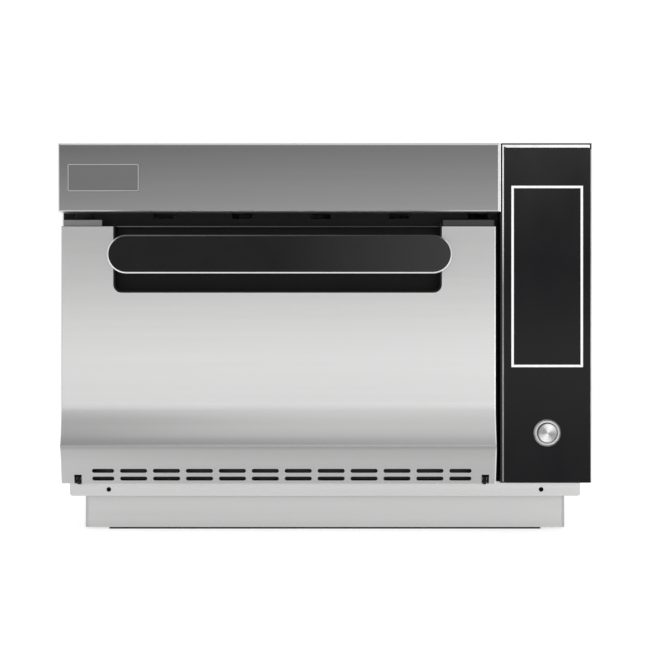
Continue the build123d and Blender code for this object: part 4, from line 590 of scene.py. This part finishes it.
def turned_steel(name, tone, roughness, centre, wedge_highlight=0.0):
    """Metal with circular tool marks about an axis along Y through the centre.

    With wedge_highlight set, the tone also swings twice a turn: cos(2 (angle - highlight_angle)), which
    paints two brighter sectors on the face as a painted highlight."""
    material, tree, shader, place = base_finish(name, grey(tone), roughness, metallic=1.0)
    from_axis = vector_maths(tree, "SUBTRACT", place, (centre.x, 0, centre.z))
    flat = vector_maths(tree, "MULTIPLY", from_axis, (1, 0, 1))
    rings = tree.nodes.new("ShaderNodeTexNoise")
    rings.noise_dimensions = "1D"
    rings.inputs["Scale"].default_value = tool_marks_per_metre
    tree.links.new(vector_maths(tree, "LENGTH", flat), rings.inputs["W"])
    marks = rings.outputs["Fac"]
    colour = mixed(tree, between(tree, marks, 0, 1), grey(tone * 0.55), grey(min(1, tone * 1.35)))
    if wedge_highlight:
        angle = combined(tree, "ARCTAN2", part_of(tree, from_axis, "Z"), part_of(tree, from_axis, "X"))
        turned = combined(tree, "SUBTRACT", angle, highlight_angle)
        swing = tree.nodes.new("ShaderNodeMath")
        swing.operation = "COSINE"
        tree.links.new(combined(tree, "MULTIPLY", turned, 2.0), swing.inputs[0])
        gain = between(tree, swing.outputs["Value"], 1 - wedge_highlight, 1 + wedge_highlight, -0.8, 1.0)
        colour = scaled(tree, colour, gain)
    tree.links.new(colour, shader.inputs["Base Color"])
    tree.links.new(between(tree, marks, roughness * 0.8, roughness * 1.3), shader.inputs["Roughness"])
    bumped(tree, shader, marks, strength=0.25, distance=0.05 * MM)
    around = tree.nodes.new("ShaderNodeTangent")
    around.direction_type = "RADIAL"
    around.axis = "Y"
    shader.inputs["Anisotropic"].default_value = 0.8
    tree.links.new(around.outputs["Tangent"], shader.inputs["Tangent"])
    return material


button_centre = middle("button_cap")
button_steel = turned_steel("button_steel", tone=0.34, roughness=0.26, centre=button_centre)
# The cap's two brighter sectors are a painted highlight.
button_face = turned_steel("button_face", tone=0.38, roughness=0.26, centre=button_centre, wedge_highlight=0.45)
print("button axis at x, z:", round(button_centre.x, 4), round(button_centre.z, 4))

# %% [markdown]
# ## Black parts
# Three blacks meet on the front. The panel is smooth glass with a faint haze of wiping marks, painted a
# little paler towards its top as a painted reflection. The handle's face and the pocket are moulded with a
# fine spark texture, which breaks up reflections. The housing behind the glass is painted sheet.


# %% Glass, moulded plastic and paint
def black_glass(reflection_from_z, reflection_full_z):
    """Near-black gloss surface with the uneven haze of wiped glass, and a painted reflection above a
    height.
    """
    material, tree, shader, place = base_finish("black_glass", (0.005, 0.005, 0.006), 0.16, specular=0.10)
    haze = stretched_noise(tree, place, (18, 18, 9), detail=4.0)
    tree.links.new(between(tree, haze, 0.16, 0.24), shader.inputs["Roughness"])
    cloud = between(tree, haze, 0, 1)
    clean = mixed(tree, cloud, (0.003, 0.003, 0.004), (0.005, 0.005, 0.006))
    # Painted reflection: a paler tone that fades in above a height.
    painted_reflection = mixed(tree, cloud, (0.016, 0.016, 0.017), (0.022, 0.022, 0.023))
    height = past(tree, place, "Z", reflection_from_z, reflection_full_z)
    tree.links.new(mixed(tree, height, clean, painted_reflection), shader.inputs["Base Color"])
    return material


def moulded_black(name, tone, roughness, cells, depth, specular):
    """Black plastic with a spark-eroded texture: noise of so many cells per metre as bump."""
    material, tree, shader, place = base_finish(name, grey(tone), roughness, specular=specular)
    grain = stretched_noise(tree, place, (cells, cells, cells), detail=2.0)
    cloud = between(tree, stretched_noise(tree, place, (25, 25, 25)), 0, 1)
    tree.links.new(mixed(tree, cloud, grey(tone * 0.85), grey(tone * 1.15)), shader.inputs["Base Color"])
    tree.links.new(between(tree, grain, roughness * 0.85, roughness * 1.15), shader.inputs["Roughness"])
    bumped(tree, shader, grain, strength=0.35, distance=depth)
    return material


# The glass is painted paler above these heights, as a painted reflection.
glass_black = black_glass(reflection_from_z=0.33, reflection_full_z=0.48)
handle_black = moulded_black("handle_black", tone=0.008, roughness=0.42, cells=1600,
                             depth=0.12 * MM, specular=0.08)
pocket_black = moulded_black("pocket_black", tone=0.006, roughness=0.5, cells=1200,
                             depth=0.10 * MM, specular=0.12)
plastic_black = moulded_black("plastic_black", tone=0.012, roughness=0.45, cells=900,
                              depth=0.10 * MM, specular=0.25)
paint_black = moulded_black("paint_black", tone=0.008, roughness=0.4, cells=500,
                            depth=0.05 * MM, specular=0.2)
rubber_black = moulded_black("rubber_black", tone=0.005, roughness=0.75, cells=400,
                             depth=0.15 * MM, specular=0.05)
phosphate_black = moulded_black("phosphate_black", tone=0.008, roughness=0.5, cells=700,
                                depth=0.04 * MM, specular=0.1)

# Painted light: the right half of the handle's face is paler.
lit_plastic_tone = 0.032
tree, shader, place, colour = colour_below(handle_black)
lit_half = past(tree, place, "X", middle("handle_cover").x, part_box("handle_cover")[1].x)
tree.links.new(toned(tree, lit_half, colour, lit_plastic_tone), shader.inputs["Base Color"])
print("black finishes ready, the handle's face painted_lighter to a tone of", lit_plastic_tone)

# %% [markdown]
# ## Bright metal
# The handle's core is polished aluminium, and the rack is bright drawn wire.
# Polish is never perfect: a slow change of roughness keeps the reflection from looking like plastic.


# %% Polished and drawn metal
def bright_metal(name, tone, roughness):
    """Smooth bright metal with a slow drift of roughness."""
    material, tree, shader, place = base_finish(name, grey(tone), roughness, metallic=1.0)
    drift = stretched_noise(tree, place, (30, 30, 30), detail=4.0)
    tree.links.new(between(tree, drift, roughness * 0.7, roughness * 1.5), shader.inputs["Roughness"])
    tree.links.new(mixed(tree, between(tree, drift, 0, 1), grey(tone * 0.94), grey(tone)),
                   shader.inputs["Base Color"])
    return material


polished = bright_metal("polished_aluminium", tone=0.72, roughness=0.20)
drawn_wire = bright_metal("drawn_wire", tone=0.70, roughness=0.20)
capacitor_can = bright_metal("capacitor_can", tone=0.66, roughness=0.34)
beading = bright_metal("burnished_bead", tone=1.0, roughness=0.24)
column_plate = bright_metal("column_plate", tone=0.75, roughness=0.22)
handle_metal = bright_metal("handle_metal", tone=0.72, roughness=0.20)
print("bright finishes ready")

# %% [markdown]
# The handle's core carries painted shade along its upper chamfer, and stays bright at its ends and below.
# The plate behind the control glass shows as a thin border round it. The housing's paint blackens its rim
# at the left and at the top, and a line beside the glass at the right. The left border takes painted shade
# towards the bottom, and a painted shadow parts it from the glass. The right one is a shade duller than the
# top. Each of these places is a band, or lies where bands overlap. A band is an axis, the place where it
# starts and the place where it is full.

# %% Painted shade on the chamfer and the borders
# Tones: painted shade on the chamfer and low on the left border, painted shadow by the glass, then the
# right border and the housing's black paint.
chamfer_shade_tone, low_left_shade_tone, glass_shadow_tone, dull_tone, paint_tone = 0.09, 0.18, 0.01, 0.32, 0.012
tree, shader, place, colour = colour_below(handle_metal)
# Painted shade on the handle core's upper chamfer.
upper_chamfer = facing(tree, "Z", 0.5, 0.66)
tree.links.new(toned(tree, upper_chamfer, colour, chamfer_shade_tone), shader.inputs["Base Color"])

tree, shader, place, colour = colour_below(column_plate)
border_low, border_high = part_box("control_bezel")
# Painted shade low on the left border and a painted shadow beside the glass; the rims are the housing's own
# black paint.
border_bands = {
    "low_down": ("Z", 0.40, 0.300),
    "left_half": ("X", border_low.x + 6 * MM, border_low.x + 4 * MM),
    "inside_left": ("X", border_low.x + 2.4 * MM, border_low.x + 2.7 * MM),
    "below_top": ("Z", border_high.z - 2.5 * MM, border_high.z - 3.0 * MM),
    "right_border": ("X", border_high.x - 1.3 * MM, border_high.x - 1.2 * MM),
    "line_from_left": ("X", border_high.x - 2.2 * MM, border_high.x - 2.0 * MM),
    "line_from_right": ("X", border_high.x - 1.0 * MM, border_high.x - 1.3 * MM),
    "left_rim": ("X", border_low.x + 1.0 * MM, border_low.x + 0.7 * MM),
    "top_rim": ("Z", border_high.z - 0.5 * MM, border_high.z - 0.2 * MM),
}
band = {name: past(tree, place, *ends) for name, ends in border_bands.items()}
low_left_shade = combined(tree, "MULTIPLY", band["low_down"], band["left_half"])
glass_shadow = combined(tree, "MULTIPLY", band["left_half"], band["inside_left"], band["below_top"])
right_line = combined(tree, "MULTIPLY", band["line_from_left"], band["line_from_right"])
painted = combined(tree, "MAXIMUM", band["left_rim"], right_line, band["top_rim"])
for value, tone in ((low_left_shade, low_left_shade_tone), (glass_shadow, glass_shadow_tone), (band["right_border"], dull_tone),
                    (painted, paint_tone)):
    colour = toned(tree, value, colour, tone)
tree.links.new(colour, shader.inputs["Base Color"])
print("bands on the column's border:", len(border_bands))

# %% [markdown]
# ## Galvanised sheet and heater
# Zinc crystals show as patches of slightly different grey, which a Voronoi texture gives directly.
# The heater's sheath has been hot: it is dark, with a brown cast that changes along its length.


# %% Zinc and hot steel
def galvanised():
    """Zinc spangle: each Voronoi cell takes its own grey."""
    material, tree, shader, place = base_finish("galvanised", (0.5, 0.52, 0.54), 0.45, metallic=1.0)
    cells = tree.nodes.new("ShaderNodeTexVoronoi")
    cells.inputs["Scale"].default_value = 90
    parts = tree.nodes.new("ShaderNodeSeparateColor")
    tree.links.new(place, cells.inputs["Vector"])
    tree.links.new(cells.outputs["Color"], parts.inputs["Color"])
    cell_value = parts.outputs["Red"]
    tree.links.new(mixed(tree, cell_value, (0.42, 0.44, 0.46), (0.6, 0.62, 0.64)),
                   shader.inputs["Base Color"])
    tree.links.new(between(tree, cell_value, 0.38, 0.55, 0, 1), shader.inputs["Roughness"])
    return material


def hot_steel():
    """Oxidised steel: dark grey that drifts towards brown."""
    material, tree, shader, place = base_finish("hot_steel", (0.12, 0.11, 0.1), 0.45, metallic=0.8)
    cloud = stretched_noise(tree, place, (40, 40, 40), detail=5.0)
    tree.links.new(mixed(tree, between(tree, cloud, 0, 1), (0.05, 0.045, 0.045), (0.18, 0.13, 0.09)),
                   shader.inputs["Base Color"])
    tree.links.new(between(tree, cloud, 0.35, 0.6), shader.inputs["Roughness"])
    return material


zinc = galvanised()
heater_steel = hot_steel()
print("zinc and heater finishes ready")

# %% [markdown]
# ## Ceramic, wool, boards and windings
# These sit inside and show when the door is open or a panel is off.
# The floor plate is cream glass ceramic with a faint speckle. Mineral wool is a tangle of fibres:
# strongly stretched noise in two directions. The boards are green lacquer over copper tracks, drawn
# by a brick pattern. The transformers are varnished windings on stacked steel.


# %% Ceramic and wool
def speckled(name, base, speck, cells, roughness, specular=0.4):
    """Even ground with small darker specks where a fine noise peaks."""
    material, tree, shader, place = base_finish(name, base, roughness, specular=specular)
    specks = stretched_noise(tree, place, (cells, cells, cells), detail=1.0)
    cloud = stretched_noise(tree, place, (12, 12, 12))
    tree.links.new(mixed(tree, between(tree, specks, 0, 1, 0.62, 0.72), base, speck),
                   shader.inputs["Base Color"])
    tree.links.new(between(tree, cloud, roughness * 0.85, roughness * 1.2), shader.inputs["Roughness"])
    return material


def fibrous(name, dark, light):
    """Matted fibres: two stretched noises crossing each other, as colour and relief."""
    material, tree, shader, place = base_finish(name, light, roughness=0.95, specular=0.1)
    lengthways = stretched_noise(tree, place, (90, 700, 700))
    crossways = stretched_noise(tree, place, (700, 90, 500))
    fibres = combined(tree, "MULTIPLY", lengthways, crossways)
    tree.links.new(mixed(tree, between(tree, fibres, 0, 1, 0.15, 0.4), dark, light),
                   shader.inputs["Base Color"])
    bumped(tree, shader, fibres, strength=0.8, distance=0.6 * MM)
    return material


ceramic = speckled("floor_ceramic", (0.74, 0.72, 0.66), (0.5, 0.47, 0.42), cells=500, roughness=0.28)
light_plastic = speckled("light_plastic", (0.7, 0.7, 0.68), (0.6, 0.6, 0.58), cells=300, roughness=0.45)
choke_plastic = speckled("choke_plastic", (0.33, 0.33, 0.32), (0.27, 0.27, 0.26), cells=350,
                         roughness=0.4)
wool_dark, wool_light = (0.42, 0.38, 0.28), (0.72, 0.68, 0.56)
wool = fibrous("mineral_wool", wool_dark, wool_light)
print("ceramic, wool and pale plastics ready")

# %% [markdown]
# The door's wool is painted near black on its forward side as painted shade, where it shows above the grip
# pocket.

# %% Wool in painted shade
# Painted shade on the wool's forward faces.
wool_shade_tone = 0.012
shaded_wool = fibrous("shaded_wool", wool_dark, wool_light)
tree, shader, place, colour = colour_below(shaded_wool)
tree.links.new(toned(tree, facing(tree, "Y", -0.3, -0.5), colour, wool_shade_tone), shader.inputs["Base Color"])
print("wool_shade tone:", wool_shade_tone)


# %% Boards and windings
def board_lacquer():
    """Green lacquer over a brick pattern of tracks."""
    material, tree, shader, place = base_finish("board_lacquer", (0.02, 0.12, 0.05), 0.35)
    tracks_per_metre = 60.0
    bricks = tree.nodes.new("ShaderNodeTexBrick")
    bricks.inputs["Mortar Size"].default_value = 0.04
    greens = {"Color1": (0.015, 0.10, 0.04), "Color2": (0.02, 0.13, 0.055), "Mortar": (0.05, 0.22, 0.09)}
    for socket, green in greens.items():
        feed(tree, bricks.inputs[socket], green)
    tree.links.new(scaled(tree, place, tracks_per_metre), bricks.inputs["Vector"])
    tree.links.new(bricks.outputs["Color"], shader.inputs["Base Color"])
    return material


def varnished_windings():
    """Copper brown windings and stacked plates: a fine wave across the height, as colour and relief."""
    material, tree, shader, place = base_finish("varnished_windings", (0.2, 0.1, 0.05), 0.4, metallic=0.5)
    wave = tree.nodes.new("ShaderNodeTexWave")
    wave.bands_direction = "Z"
    wave.inputs["Scale"].default_value = 160
    tree.links.new(place, wave.inputs["Vector"])
    layers = wave.outputs["Fac"]
    tree.links.new(mixed(tree, layers, (0.10, 0.05, 0.03), (0.32, 0.17, 0.09)), shader.inputs["Base Color"])
    bumped(tree, shader, layers, strength=0.4, distance=0.3 * MM)
    return material


lacquer = board_lacquer()
windings = varnished_windings()
print("board and winding finishes ready")

# %% [markdown]
# ## Printed white
# The display line is white ink: matt, slightly warm, not quite even. With it every finish is there, so our
# own four pieces are dressed, each listed beside the slot that the record would give it.

# %% Ink, and the finishes of our own pieces
ink = speckled("white_ink", (0.86, 0.86, 0.85), (0.8, 0.8, 0.79), cells=900, roughness=0.5)
own_pieces = ((display_line, ink, "light_plastic"), (fascia_plate, steel_plate, "brushed_stainless"),
              (fascia_bead, beading, "bright_metal"), (return_spring, steel_plain, "spring_steel"))
for piece, finish, slot in own_pieces:
    piece.data.materials.append(finish)
print("own pieces with their finishes:", len(own_pieces))

# %% [markdown]
# ## Which piece wears which finish
# The record lists a material slot for every piece. One table turns slots into finishes, and a second,
# short one names the pieces whose own finish differs from their slot's.

# %% Finishes on the pieces
finish_of_slot = {
    "brushed_stainless": steel_wrap, "inner_stainless": steel_inner, "galvanised": zinc,
    "black_metal": paint_black, "black_plastic": plastic_black, "black_glass": glass_black,
    "bright_metal": polished, "button_steel": button_steel, "steel": steel_plain,
    "spring_steel": steel_plain, "rubber": rubber_black, "ceramic": ceramic, "mineral_wool": wool,
    "heater_sheath": heater_steel, "circuit_board": lacquer, "copper_and_steel": windings,
    "light_plastic": light_plastic, "choke_plastic": choke_plastic,
}
finish_of_node = {
    "top_fascia": steel_fascia_shaded, "door_skin": steel_door, "base_pan": steel_rail, "plinth": steel_plinth,
    "handle_cover": handle_black, "handle_pocket": pocket_black, "oven_rack": drawn_wire,
    "door_inner_frame": door_tray, "front_frame": cavity_frame, "control_bezel": column_plate,
    "handle_core": handle_metal, "door_insulation": shaded_wool,
    "hinge_arms": phosphate_black, "hinge_channels": phosphate_black, "button_cap": button_face,
    "high_voltage_capacitors": capacitor_can, "line_filter": capacitor_can, "stirrer": drawn_wire,
}
for node, piece in frame["nodes"].items():
    piece.data.materials.clear()
    piece.data.materials.append(finish_of_node.get(node, finish_of_slot[slot_of_node[node]]))
print("dressed pieces:", len(frame["nodes"]))

# %% [markdown]
# ## The studio
# The photograph has a pure white surround. The floor is a white light table: matt paper that also glows
# a little, which keeps the oven's contact shadow and leaves the rest white. A few metres away it turns
# into plain white light, so no horizon shows. The world is white wherever a camera, a gloss reflection
# or a view through glass meets it. For soft light on matt surfaces it is kept lower, and large
# soft lamps make up the rest, so the oven keeps some shape.

# %% Floor
floor_reach = 14.0
table_glow = 0.55
near_edge, far_edge = 1.2, 3.0
corners = np.array([(-1, -1, 0), (1, -1, 0), (1, 1, 0), (-1, 1, 0)]) * floor_reach
studio_floor = new_piece("studio_floor", corners, [(0, 1, 2, 3)])
floor_paper, tree, shader, place = base_finish("floor_paper", grey(0.97), roughness=0.9, specular=0.0)
paper = stretched_noise(tree, place, (300, 300, 300))
bumped(tree, shader, paper, strength=0.05, distance=0.1 * MM)
feed(tree, shader.inputs["Emission Color"], grey(1))
feed(tree, shader.inputs["Emission Strength"], table_glow)
far_light = tree.nodes.new("ShaderNodeEmission")
floor_mix = tree.nodes.new("ShaderNodeMixShader")
distance = vector_maths(tree, "LENGTH", place)
tree.links.new(between(tree, distance, 0, 1, near_edge, far_edge), floor_mix.inputs["Fac"])
tree.links.new(shader.outputs["BSDF"], floor_mix.inputs[1])
tree.links.new(far_light.outputs["Emission"], floor_mix.inputs[2])
tree.links.new(floor_mix.outputs["Shader"], tree.nodes["Material Output"].inputs["Surface"])
studio_floor.data.materials.append(floor_paper)
print("floor:", floor_reach * 2, "m across")

# %% World
world_fill = 0.62
world = bpy.data.worlds.new("studio_world")
bpy.context.scene.world = world
world.use_nodes = True
sky = world.node_tree
background = sky.nodes["Background"]
background.inputs["Color"].default_value = (1, 1, 1, 1)
rays = sky.nodes.new("ShaderNodeLightPath").outputs
in_view = combined(sky, "MAXIMUM", rays["Is Camera Ray"], rays["Is Glossy Ray"],
                   rays["Is Transmission Ray"])
level = between(sky, in_view, world_fill, 1.0, 0, 1)
print("world fill for matt surfaces:", world_fill)

# %% [markdown]
# A white room still has a ceiling, and it is darker than its walls. Only gloss reflections see it: the
# world's own direction gives the height, and the white falls off from just above the walls upwards.

# %% Ceiling in the reflections
ceiling_tone = 0.50
ceiling_starts, ceiling_full = 0.60, 0.97
upward = part_of(sky, sky.nodes.new("ShaderNodeTexCoord").outputs["Generated"], "Z")
ceiling = between(sky, upward, 1.0, ceiling_tone, ceiling_starts, ceiling_full)
as_gloss = sky.nodes.new("ShaderNodeMix")
for socket, value in (("Factor", rays["Is Glossy Ray"]), ("A", 1.0), ("B", ceiling)):
    feed(sky, as_gloss.inputs[socket], value)
strength = combined(sky, "MULTIPLY", level, as_gloss.outputs["Result"])
sky.links.new(strength, background.inputs["Strength"])
print("ceiling tone in reflections:", ceiling_tone)

# %% [markdown]
# The lamps are large and soft. The front one is long and stands low before the door, and the far one is
# wider and higher: between them they give the brushed door its sheen. The side one stands low at the
# right, the canopy hangs above the cook, and the top and rear ones light what the others can't reach.
# One table gives their places, aims, sizes and power.


# %% Lamps
def soft_lamp(name, place, aim, size, power):
    """Rectangular soft lamp at a place, turned to shine at a point."""
    data = bpy.data.lights.new(name, "AREA")
    data.shape = "RECTANGLE"
    data.size, data.size_y = size
    data.energy = power
    lamp = bpy.data.objects.new(name, data)
    lamp.location = place
    lamp.rotation_mode = "QUATERNION"
    lamp.rotation_quaternion = (Vector(aim) - Vector(place)).to_track_quat("-Z", "Y")
    lamp.visible_camera = False
    bpy.context.scene.collection.objects.link(lamp)


oven_middle = (cad_low + cad_high) / 2
lamps = {
    "front_lamp": ((0.1, -1.58, 0.18), (0.1, 0.0, 0.18), (1.8, 0.20), 1.95),
    "far_lamp": ((1.7, -6.6, 1.65), (1.7, 0.0, 1.65), (5.0, 0.9), 12.0),
    "side_lamp": ((1.1, -2.7, 0.1), oven_middle, (0.7, 0.5), 2.0),
    "canopy_lamp": ((0.8, -2.0, 1.6), oven_middle, (2.6, 1.6), 7.2),
    "top_lamp": ((-0.8, 0.6, 2.8), oven_middle, (2.0, 2.0), 12.0),
    "rear_lamp": ((1.4, 2.2, 2.0), oven_middle, (1.6, 1.6), 4.0),
}
for lamp_name, lamp_values in lamps.items():
    soft_lamp(lamp_name, *lamp_values)
print("soft lamps:", len(lamps))

# %% [markdown]
# ## The camera
# The photograph looks straight at the front from a little over two and a half metres, nearly level with
# the oven's middle. One pixel of the picture is worth a known length at the front.

# %% Camera
picture_pixels = 645
pixel_length = 1.2184 * MM
camera_distance = 2.6
picture_centre_x = -3.05 * MM
picture_centre_z = 256.4 * MM
sensor_width = 36.0
view_width = picture_pixels * pixel_length
camera_data = bpy.data.cameras.new("studio_camera")
camera_data.sensor_width = sensor_width
camera_data.lens = sensor_width * camera_distance / view_width
camera = bpy.data.objects.new("studio_camera", camera_data)
camera.location = (picture_centre_x, overlay_y - camera_distance, picture_centre_z)
camera.rotation_euler = (math.pi / 2, 0, 0)
bpy.context.scene.collection.objects.link(camera)
bpy.context.scene.camera = camera
bpy.context.scene.view_settings.view_transform = "Standard"
print("lens:", round(camera_data.lens, 2), "mm")
